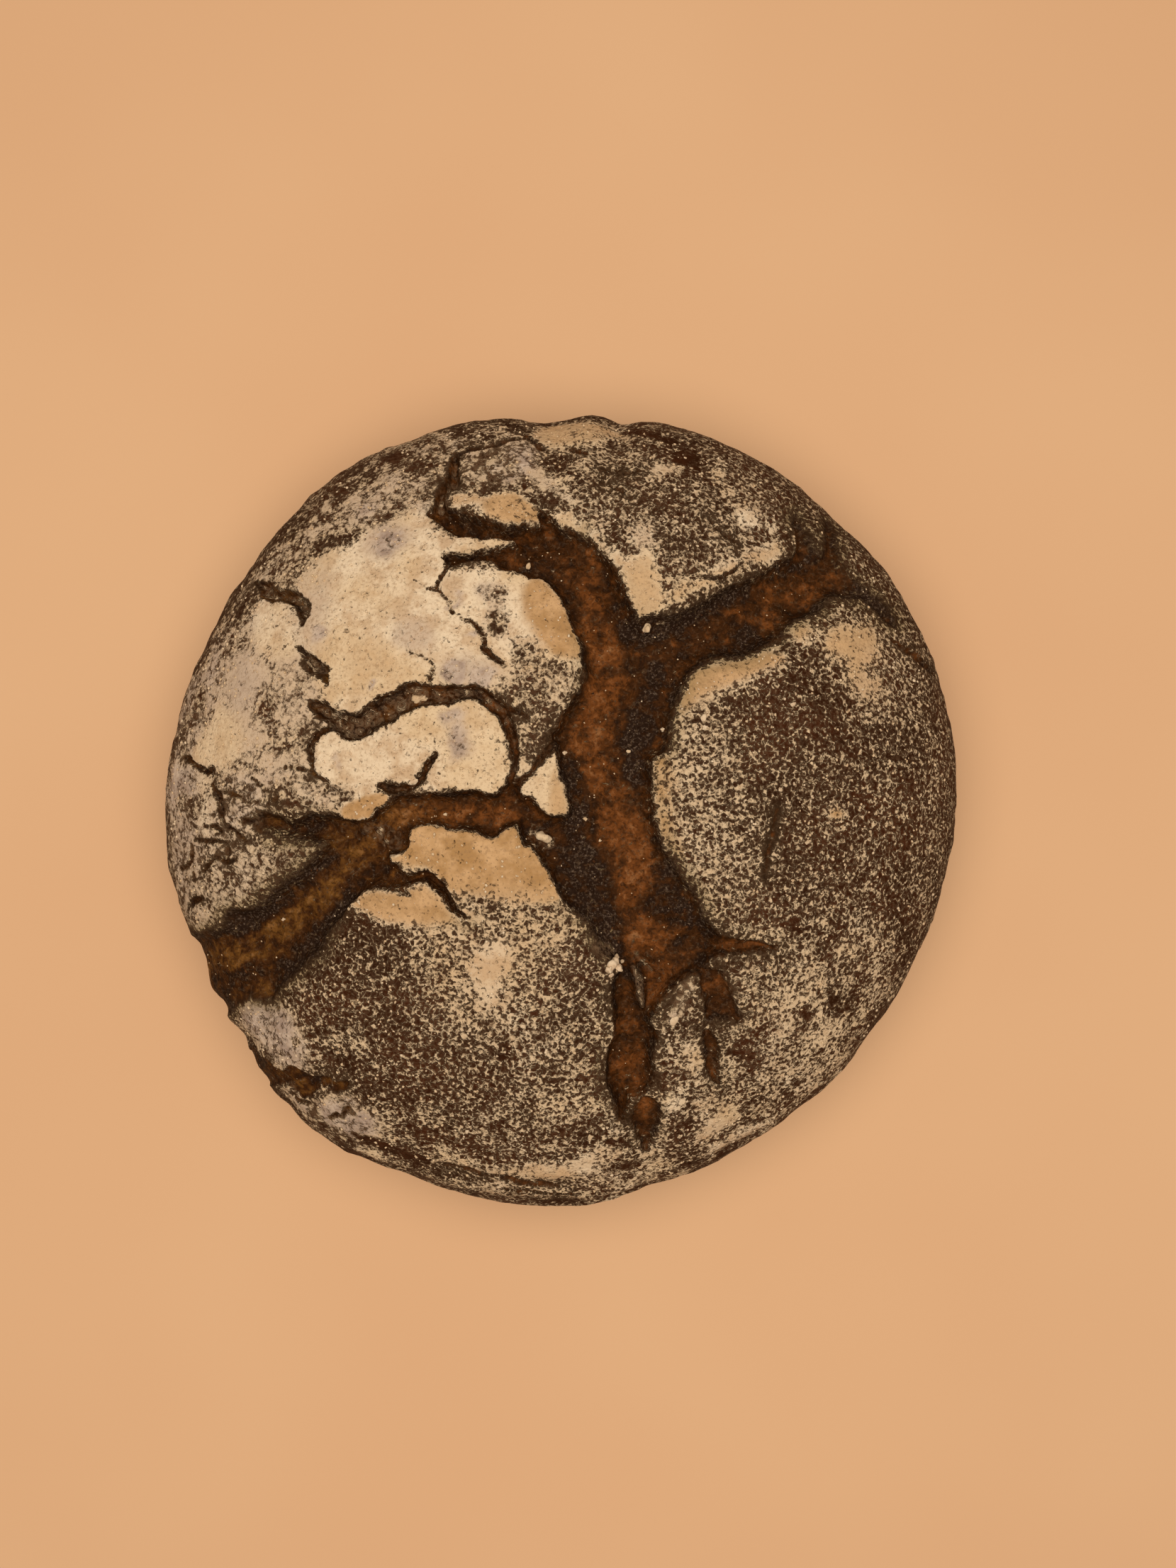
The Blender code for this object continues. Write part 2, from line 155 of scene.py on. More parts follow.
# The narrow cracks, each as a line of places with its half-width there: x, y, half-width.
NARROW_CRACKS = {
    "winding_crack": [
        (-65, 27.3, 1), (-62, 25.8, 2.2), (-59, 24, 2.1), (-56, 21.7, 3.2), (-52.5, 21, 3.7),
        (-48, 24, 3.3), (-44, 26, 3.8), (-40, 28.2, 3.6), (-36, 29.6, 3.1), (-30, 29.5, 2.7),
        (-24, 29.9, 2), (-19, 29, 2), (-15, 26, 1.9), (-12.5, 22.5, 1.5), (-11, 18, 1.2),
        (-10.5, 12, 0.9), (-11.3, 7, 1.2)],
    "winding_crack_spur": [(-11.5, 25.5, 0.8), (-9, 24.4, 0.6), (-6.8, 23.8, 0.3)],
    "hook": [
        (-58.5, 20.8, 1.1), (-62, 20, 0.9), (-64.6, 16.8, 1), (-65, 12.5, 0.8), (-64.4, 10.5, 0.3)],
    "between_low_plates": [
        (-45.5, 5.2, 0.9), (-42, 4.3, 1.1), (-38.5, 4.6, 1.3), (-35.5, 7.5, 1), (-33.3, 11, 1),
        (-31.3, 14, 0.8)],
    "beside_triangle": [
        (0.4, 17, 1), (-3.3, 13.5, 0.9), (-6, 10, 0.7), (-8, 7.2, 0.9), (-9.8, 5, 1)],
    "upper_left_rim": [
        (-83.5, 62, 0.8), (-81, 60.3, 1.5), (-78, 58, 1.9), (-74.5, 57.6, 1.6), (-70.8, 56.3, 2.2),
        (-68.6, 53, 1.7), (-68.4, 49.8, 0.7)],
    "below_rim_crack": [
        (-69.8, 42.8, 0.4), (-67, 40.6, 1), (-64.3, 38, 1.5), (-61.6, 35.6, 1.1), (-60.6, 32.6, 0.4)],
    "top_slit": [
        (-31.5, 81.5, 1.8), (-30.8, 85, 1.3), (-28.3, 88, 1.9), (-28, 93, 1.7), (-28.2, 97, 1)],
    "left_rim_slit": [
        (-104.5, 13.5, 0.4), (-101, 12, 0.8), (-98, 10.3, 0.9), (-95.2, 9.6, 0.8), (-94, 11, 0.3)],
    "left_rim_spur": [
        (-94.3, 9.6, 0.4), (-93.2, 7, 0.1), (-93.2, 4.8, 0.4), (-91.4, 2, 1), (-90.6, -2, 0.8),
        (-90, -5, 0.7), (-86, -7.3, 0.6), (-83.6, -9.3, 0.3)],
    "left_hair_1": [(-89.5, 4.2, 0.4), (-86, 2.6, 0.5), (-83, 1.3, 0.3), (-80, 0.9, 0.2)],
    "left_hair_2": [
        (-82, 7, 0.2), (-78, 4.8, 0.2), (-75.6, 3.4, 0.3), (-74.8, 2.2, 0.5), (-78.6, 1.4, 0.2)],
    "left_hair_4": [
        (-99.5, -9.8, 0.4), (-95, -9.6, 0.5), (-90.5, -10, 0.5), (-89, -11.6, 0.6),
        (-89.4, -14, 0.4)],
    "left_hair_5": [(-96, -5.6, 0.3), (-93, -5.6, 0.5), (-91.6, -6.8, 0.9)],
    "left_hair_6": [
        (-96.6, -18, 0.4), (-94.6, -15.6, 0.6), (-92, -14, 0.4), (-89.6, -15.2, 0.5),
        (-86.6, -14.6, 0.3)],
    "left_hair_7": [
        (-105.5, -17.8, 0.4), (-102.6, -16.8, 0.7), (-101, -14, 0.7), (-100.6, -11.2, 0.4)],
    "left_hair_8": [(-103, -28.6, 0.5), (-101, -26.6, 1), (-97.6, -25.8, 0.4)],
    "left_hair_9": [(-85.4, -4, 0.4), (-83.4, -4, 0.8), (-80.6, -4.8, 0.8), (-79.6, -6.8, 0.4)],
    "left_hair_10": [(-100.4, -20.6, 0.7), (-100.6, -18.4, 0.3)],
    "left_hair_3": [
        (-72, 10.2, 0.3), (-66, 10, 0.3), (-62.5, 8, 0.4), (-60, 6.6, 0.4), (-60.3, 4, 0.2)],
    "plate_hair_1": [
        (-37, 60, 0.1), (-34, 58, 0.1), (-31.6, 57.3, 0.4), (-28.6, 54.8, 0.1), (-27.4, 51.8, 0.5),
        (-25.6, 50.6, 0.1), (-22, 48.8, 0.5), (-20.2, 47, 0.6), (-18.7, 44.6, 0.7),
        (-18.1, 41.6, 0.7), (-16.6, 39.6, 0.75), (-13.4, 37.4, 0.5)],
    "plate_hair_2": [
        (-39, 41.3, 0.1), (-36.4, 39.8, 0.2), (-33.4, 38.4, 0.3), (-32.3, 36.6, 0.35),
        (-32.6, 33.8, 0.35)],
    "plate_hair_3": [(-28.2, 65.5, 0.7), (-28.8, 63, 0.55), (-30.6, 59.8, 0.5), (-31.2, 58, 0.3)],
    "right_rim_slit": [
        (92.5, 46.2, 0.5), (96, 44.3, 1), (100, 42, 1.2), (103.5, 39.3, 1.1), (107, 37.5, 0.8)],
    "upper_right_hair": [(40, 61.2, 0.3), (44, 61.3, 0.6), (47.5, 62.8, 0.5), (50, 65.3, 0.4)],
    "top_hair": [(41, 77.5, 0.3), (44, 74.5, 0.4), (47.5, 71.8, 0.4), (50, 70.4, 0.2)],
    "scratch": [(58.6, -1, 0.2), (57.2, -9, 0.4), (56.2, -13, 0.4), (55.4, -19, 0.1)],
    "tan_plate_hair": [(-42, -21.6, 0.6), (-39.5, -22.6, 0.6), (-37.5, -23.8, 0.2)],
    "bottom_fold_slit": [
        (-32, -99.3, 0.4), (-24, -101.2, 0.7), (-19, -102.6, 0.4), (-14, -103, 0.8),
        (-8, -104.8, 1), (-2, -105.8, 0.8), (1, -105.8, 0.2)],
    "bottom_fold_slit_2": [(-14, -107.5, 0.3), (-6, -108.6, 0.5), (4, -108.8, 0.3)],
    "low_left_hair_1": [(-74.5, -81, 0.7), (-71, -83.4, 0.7), (-68.4, -82.6, 0.3)],
    "low_left_hair_2": [
        (-62.8, -87, 0.5), (-60.6, -85.2, 0.7), (-59.4, -86.2, 0.4), (-57.6, -83.2, 0.7),
        (-55.4, -84, 0.4)],
    "top_rim_hair": [(-8, 103.5, 0.7), (-6.5, 101.5, 0.6), (-4, 99.3, 0.8), (-2.8, 98.6, 0.3)],
    "top_fold_hair": [
        (-28.2, 96, 0.7), (-25.6, 98, 0.6), (-20, 99.3, 0.5), (-15, 100.4, 0.6), (-10, 102, 0.5),
        (-7, 103, 0.4)],
    "top_rim_dash": [(4.5, 98, 0.5), (7, 97.3, 0.6), (9, 96.5, 0.3)],
    "top_plate_hair_1": [(13, 87, 0.2), (17, 86, 0.4), (20.5, 83, 0.2)],
    "top_plate_hair_2": [(12, 91.5, 0.2), (20, 91, 0.3), (26, 92.5, 0.2)],
}

# How the tears are cut. A wall drops over its reach, less where the torn skin is crisp; the
# crust beside it sags over the shoulder's reach, and the floor swells up again.
WIDE_TEAR_DEPTH = 7.2
SHALLOW_TEARS = {"right_finger": 0.55, "right_pocket": 0.4, "right_slit": 0.35,
                 "finger_end": 0.4, "lower_left_rim_gap": 0.3}
WALL_REACH = 2.4
CRISP_WALL_GAIN = 1.0
ROLLED_SHOULDER_DROP = 2.3
CRISP_SHOULDER_DROP = 0.3
SHOULDER_REACH = 4.2
CRISP_SHOULDER_GAIN = 2.2
CRISP_STEP = 1.1
FLOOR_SWELL = 0.5
FLOOR_SWELL_REACH = 6.0
FLOOR_SWELL_MOST = 3.0
NARROW_CRACK_DEPTH = 4.6
NARROW_WALL_REACH = 0.9
NARROW_SAG = 0.35
NARROW_SAG_REACH = 1.2

# Tears die out between these heights low on the side, and lose a share of their depth
# between these radii, where they run out over the rim.
TEAR_LOW_END = (7.0, 18.0)
RIM_CALM = 0.6
RIM_CALM_RADII = (86.0, 110.0)

# How far from an outline or a stroke its distance is still measured: widely, or close by.
FAR = 20.0
NEAR = 6.0

# A ridge of crust left standing above the lower finger: its height, then x, y, half-width.
RIDGE_HEIGHT = 3.2
RIDGE = [(21, -43, 0.6), (22.3, -46.5, 1.3), (23.2, -50.5, 1.2), (23.8, -54, 0.5)]

# Lumps left standing on the floors of the tears: x, y, radius, height.
ISLANDS = [
    (28.5, -56, 1.6, 1.2), (-3, -7.8, 2, 1.6), (-6, -5, 2.4, 1), (-47.5, -12.3, 1.5, 0.9),
    (-44, -9, 2.5, 1.2), (-52, -6.5, 2.2, 1), (24.3, 47.3, 1.6, 2), (2.5, 31, 1.8, 1),
    (-97, -45, 2.6, 1.2), (12, 64, 3, 0.7), (5, 5, 2.5, 0.8), (32, -27, 4, 1), (-58, -6, 2, 0.8)]

# Unevenness, each layer as its height, the distance between its humps, and a seed.
CRUMB_LUMPS = [(0.85, 6.0, 31), (0.5, 2.8, 32), (0.2, 1.3, 33)]
CRUST_WAVES = [(0.4, 14.0, 41), (0.2, 5.0, 42), (0.1, 2.2, 43)]
RIM_WAVES = [(0.35, 5.5, 45), (0.25, 2.6, 46)]
RIM_WAVE_RADII = (98.0, 110.0)

# Folds that run round the foot, where the loaf slumped: their height and spacing, the radii
# over which they rise, and the turns between which they begin and end.
RIM_FOLD_HEIGHT = 0.6
RIM_FOLD_SPACING = 8.5
RIM_FOLD_RADII = (92.0, 102.0)
RIM_FOLD_BEGIN = (226.0, 250.0)
RIM_FOLD_END = (292.0, 312.0)

# How the skin is meshed: rounds of splitting a ball, then twice more within these margins
# of the tears. Noise repeats after this many cells.
SKIN_ROUNDS = 7
SKIN_MARGINS = (8.0, 1.6)
NOISE_CELLS = 48


def ease(value, low, high):
    """0 below low, 1 above high, and a smooth S between them."""
    t = np.clip((value - low) / (high - low), 0.0, 1.0)
    return t * t * (3.0 - 2.0 * t)


def soft_noise(places, size, seed):
    """Smooth noise from about -1 to 1 whose humps lie about `size` apart."""
    lattice = np.random.default_rng(seed).uniform(-1.0, 1.0, (NOISE_CELLS,) * 3)
    grid = places / size
    cell = np.floor(grid).astype(int)
    part = grid - cell
    part = part * part * (3.0 - 2.0 * part)
    total = np.zeros(len(places))
    for corner in itertools.product((0, 1), repeat=3):
        share = np.prod(np.where(np.array(corner) == 1, part, 1.0 - part), axis=1)
        index = (cell + corner) % NOISE_CELLS
        total += share * lattice[index[:, 0], index[:, 1], index[:, 2]]
    return total


def layered(places, layers):
    """Soft noises added up."""
    return sum(height * soft_noise(places, size, seed) for height, size, seed in layers)


def smooth_line(points, closed, step):
    """Evenly spaced stops on a smooth curve through points of any number of values."""
    points = np.array(points, float)
    if closed:
        points = np.vstack([points[-1:], points, points[:2]])
    else:
        points = np.vstack([2 * points[0] - points[1], points, 2 * points[-1] - points[-2]])
    stops = []
    for a, b, c, d in zip(points, points[1:], points[2:], points[3:]):
        count = max(2, int(round(np.hypot(*(c - b)[:2]) / step)))
        t = (np.arange(count) / count)[:, None]
        stops.append(0.5 * (2 * b + (c - a) * t + (2 * a - 5 * b + 4 * c - d) * t * t
                            + (3 * b - a - 3 * c + d) * t ** 3))
    if not closed:
        stops.append(points[-2:-1])
    return np.vstack(stops)


def inside_outline(x, y, outline, reach):
    """How far each place lies inside a closed smooth outline; negative outside, to -reach."""
    stops = smooth_line(outline, True, 1.4)
    low, high = stops.min(axis=0) - reach, stops.max(axis=0) + reach
    close = (x > low[0]) & (x < high[0]) & (y > low[1]) & (y < high[1])
    px, py = x[close], y[close]
    nearest = np.full(len(px), reach * reach)
    crossed = np.zeros(len(px), bool)
    for (ax, ay), (bx, by) in zip(stops, np.roll(stops, -1, axis=0)):
        dx, dy = bx - ax, by - ay
        along = np.clip(((px - ax) * dx + (py - ay) * dy) / (dx * dx + dy * dy), 0.0, 1.0)
        nearest = np.minimum(nearest, (px - ax - along * dx) ** 2 + (py - ay - along * dy) ** 2)
        if ay != by:
            over = (ay > py) != (by > py)
            crossed ^= over & (px < dx * (py - ay) / dy + ax)
    inside = np.full(len(x), -reach)
    inside[close] = np.sqrt(nearest) * np.where(crossed, 1.0, -1.0)
    return inside


def inside_stroke(x, y, line, reach):
    """How far each place lies inside a brush stroke of x, y, half-width."""
    stops = smooth_line(line, False, 0.7)
    low, high = stops[:, :2].min(axis=0) - reach, stops[:, :2].max(axis=0) + reach
    close = (x > low[0]) & (x < high[0]) & (y > low[1]) & (y < high[1])
    px, py = x[close], y[close]
    nearest = np.full(len(px), -reach)
    for stop_x, stop_y, half_width in stops:
        nearest = np.maximum(nearest, half_width - np.hypot(px - stop_x, py - stop_y))
    inside = np.full(len(x), -reach)
    inside[close] = nearest
    return inside


def widest_radius(angle):
    """The radius of the loaf's widest line at a turn."""
    radius = RADIUS
    for count, height, turn in LOBES:
        radius = radius + height * np.cos(count * angle - math.radians(turn))
    for turn, height, width in SWELLINGS:
        off = np.degrees(np.angle(np.exp(1j * (angle - math.radians(turn)))))
        radius = radius + height * np.exp(-(off / width) ** 2)
    return radius


def body_point(direction):
    """Where a unit direction lands on the uncracked loaf: dome above the belly, foot below."""
    flat = np.hypot(direction[:, 0], direction[:, 1])
    angle = np.arctan2(direction[:, 1], direction[:, 0])
    up = direction[:, 2]
    outline = widest_radius(angle)
    foot = FOOT_RADIUS * outline / RADIUS
    dome_radius = outline * flat ** (2.0 / DOME_ROUND_PLAN)
    rise = np.maximum(up, 0.0) ** (2.0 / DOME_ROUND_RISE)
    dome_height = BELLY_HEIGHT + (HEIGHT - BELLY_HEIGHT) * rise
    latitude = np.arcsin(np.clip(-up, 0.0, 1.0))
    turn = np.clip(latitude / FOOT_LATITUDE, 0.0, 1.0) * math.pi / 2
    side_radius = foot + (outline - foot) * np.cos(turn)
    base_radius = foot * np.cos(latitude) / math.cos(FOOT_LATITUDE)
    under_radius = np.where(latitude < FOOT_LATITUDE, side_radius, base_radius)
    radius = np.where(up >= 0, dome_radius, under_radius)
    height = np.where(up >= 0, dome_height, BELLY_HEIGHT * (1.0 - np.sin(turn)))
    return np.column_stack([radius * np.cos(angle), radius * np.sin(angle), height])


def crispness(x, y):
    """1 where a thick flour skin tore with a sharp edge, 0 where the crust rolled over."""
    upper_left = ease(y, -6.0, 2.0)
    middle = ease(x, -64.0, -54.0) * ease(y, -34.0, -26.0)
    left_side = np.maximum(upper_left, middle) * (1.0 - ease(x, 2.0, 10.0))
    low_fingers = (1.0 - ease(y, -44.0, -38.0)) * ease(x, 10.0, 14.0)
    right_fingers = (1.0 - ease(y, -31.0, -28.0)) * ease(x, 37.0, 42.0)
    wedge = ease(x, 8.0, 11.0) * (1.0 - ease(x, 27.0, 33.0)) * ease(y, 49.0, 53.0)
    low_left = (1.0 - ease(x, -52.0, -46.0)) * (1.0 - ease(y, -64.0, -58.0))
    above_arm = ease(x, 20.0, 26.0) * (1.0 - ease(x, 64.0, 70.0))
    above_arm *= 1.0 - ease(np.abs(y - 50.5 - 0.53 * (x - 24.0)), 3.0, 6.0)
    right_lip = 0.7 * (1.0 - ease(np.abs(x - 26.3), 2.0, 5.0))
    right_lip *= 1.0 - ease(np.abs(y - 1.0), 11.0, 16.0)
    right_side = np.maximum(low_fingers, np.maximum(right_fingers, wedge))
    right_side = np.maximum(right_side, np.maximum(above_arm, right_lip))
    return np.maximum(np.maximum(left_side, low_left), 0.85 * right_side)


def ragged(places):
    """Places shifted a little, so that torn edges and flour patches come out ragged."""
    strength = 0.45 + 0.55 * crispness(places[:, 0], places[:, 1])
    shift = [strength * layered(places, [(0.6, 3.4, 11 + axis), (0.4, 1.4, 21 + axis)])
             for axis in (0, 1)]
    return places[:, 0] + shift[0], places[:, 1] + shift[1]


def measure_tears(places):
    """How far each place lies inside the wide tears and the cracks, and the tears' depth."""
    x, y = ragged(places)
    crisp = crispness(x, y)
    wide = np.full(len(x), -FAR)
    depth = np.zeros(len(x))
    wall_reach = WALL_REACH - CRISP_WALL_GAIN * crisp
    for name, outline in WIDE_TEARS.items():
        inside = inside_outline(x, y, outline, FAR)
        wide = np.maximum(wide, inside)
        fall = 1.0 - np.exp(-np.maximum(inside, 0.0) / wall_reach)
        depth = np.maximum(depth, SHALLOW_TEARS.get(name, 1.0) * WIDE_TEAR_DEPTH * fall)
    narrow = np.full(len(x), -FAR)
    for line in NARROW_CRACKS.values():
        narrow = np.maximum(narrow, inside_stroke(x, y, line, FAR))
    low = places[:, 2] <= TEAR_LOW_END[0]
    wide[low] = -FAR
    narrow[low] = -FAR
    return wide, narrow, depth


def refine(skin, close):
    """Splits the skin's edges where both ends are marked as needing finer mesh."""
    skin.verts.index_update()
    split = [e for e in skin.edges if close[e.verts[0].index] and close[e.verts[1].index]]
    bmesh.ops.subdivide_edges(skin, edges=split, cuts=1)
    bmesh.ops.triangulate(skin, faces=[f for f in skin.faces if len(f.verts) > 3])
    for vert in skin.verts:
        vert.co.normalize()


def unit_directions(skin):
    """Where the skin's corners lie, seen from the middle of the ball."""
    return np.array([vert.co for vert in skin.verts], float)


def build_skin():
    """A closed sphere of triangles, finest in and beside the tears."""
    skin = bmesh.new()
    bmesh.ops.create_icosphere(skin, subdivisions=SKIN_ROUNDS, radius=1.0)
    for vert in skin.verts:
        vert.co.normalize()
    for shaded_margin in SKIN_MARGINS:
        wide, narrow, _ = measure_tears(body_point(unit_directions(skin)))
        refine(skin, np.maximum(wide, narrow) > -shaded_margin)
    return skin


def outward(places, directions):
    """Which way the uncracked loaf faces, from two short steps along its surface."""
    side = np.cross(directions, (0.3, 0.2, 1.0))
    side /= np.linalg.norm(side, axis=1)[:, None]
    other = np.cross(directions, side)
    steps = []
    for step in (side, other):
        moved = directions + 0.004 * step
        moved /= np.linalg.norm(moved, axis=1)[:, None]
        steps.append(body_point(moved) - places)
    normal = np.cross(steps[0], steps[1])
    length = np.linalg.norm(normal, axis=1)
    normal /= np.maximum(length, 1e-9)[:, None]
    return normal * np.sign((normal * directions).sum(axis=1))[:, None]


def rim_folds(places):
    """Low folds that run round the foot of the loaf, where it slumped: -1 to 1."""
    x, y, z = places.T
    angle = np.degrees(np.arctan2(y, x)) % 360.0
    share = ease(np.hypot(x, y), *RIM_FOLD_RADII) * ease(angle, *RIM_FOLD_BEGIN)
    share *= 1.0 - ease(angle, *RIM_FOLD_END)
    share *= 0.55 + 0.9 * soft_noise(places, 13.0, 47)
    wavy_height = z + 3.0 * soft_noise(places, 16.0, 44)
    return share * np.sin(wavy_height * 2.0 * math.pi / RIM_FOLD_SPACING)


def relief(places, wide, narrow, depth):
    """How far the crust stands in (negative) or out at each place, in millimetres."""
    x, y, z = places.T
    radius = np.hypot(x, y)
    crisp = crispness(x, y)
    torn = np.maximum(wide, 0.0)
    calm = 1.0 - RIM_CALM * ease(radius, *RIM_CALM_RADII)
    low = ease(z, *TEAR_LOW_END)
    shoulder_drop = ROLLED_SHOULDER_DROP * (1.0 - crisp) + CRISP_SHOULDER_DROP * crisp
    shoulder_reach = SHOULDER_REACH - CRISP_SHOULDER_GAIN * crisp
    shoulder = shoulder_drop * np.exp(np.minimum(wide, 0.0) / shoulder_reach)
    step = CRISP_STEP * crisp * ease(wide, -0.25, 0.35)
    swell = FLOOR_SWELL * torn * np.minimum(1.0, FLOOR_SWELL_REACH / np.maximum(torn, 0.1))
    floor_share = ease(wide, 0.3, 3.0)
    lumps = floor_share * layered(places, CRUMB_LUMPS)
    crack = NARROW_CRACK_DEPTH * (1.0 - np.exp(-np.maximum(narrow, 0.0) / NARROW_WALL_REACH))
    crack += NARROW_SAG * np.exp(np.minimum(narrow, 0.0) / NARROW_SAG_REACH)
    islands = RIDGE_HEIGHT * ease(inside_stroke(x, y, RIDGE, NEAR), -1.2, 0.8)
    for island_x, island_y, size, height in ISLANDS:
        off = np.hypot(x - island_x, y - island_y)
        islands = np.maximum(islands, height * (1.0 - ease(off, 0.45 * size, 1.25 * size)))
    swell = np.minimum(swell, FLOOR_SWELL_MOST)
    sunk = np.maximum(depth + step + shoulder - swell - lumps, 0.0)
    sunk = np.maximum(sunk - islands * floor_share, crack)
    waves = layered(places, CRUST_WAVES)
    waves += ease(radius, *RIM_WAVE_RADII) * layered(places, RIM_WAVES)
    waves += RIM_FOLD_HEIGHT * rim_folds(places)
    return waves * ease(z, 0.3, 5.0) - sunk * calm * low


skin = build_skin()
directions = unit_directions(skin)
body = body_point(directions)
wide, narrow, depth = measure_tears(body)
surface = body + outward(body, directions) * relief(body, wide, narrow, depth)[:, None]
surface[:, 2] = np.maximum(surface[:, 2], 0.0)
for vert, place in zip(skin.verts, surface * MM):
    vert.co = place
loaf_mesh = bpy.data.meshes.new("rye_loaf")
skin.to_mesh(loaf_mesh)
skin_tree = BVHTree.FromBMesh(skin)
skin.free()
loaf_mesh.shade_smooth()
loaf = bpy.data.objects.new("rye_loaf", loaf_mesh)
bpy.context.scene.collection.objects.link(loaf)
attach(loaf, "root")
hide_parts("loaf")
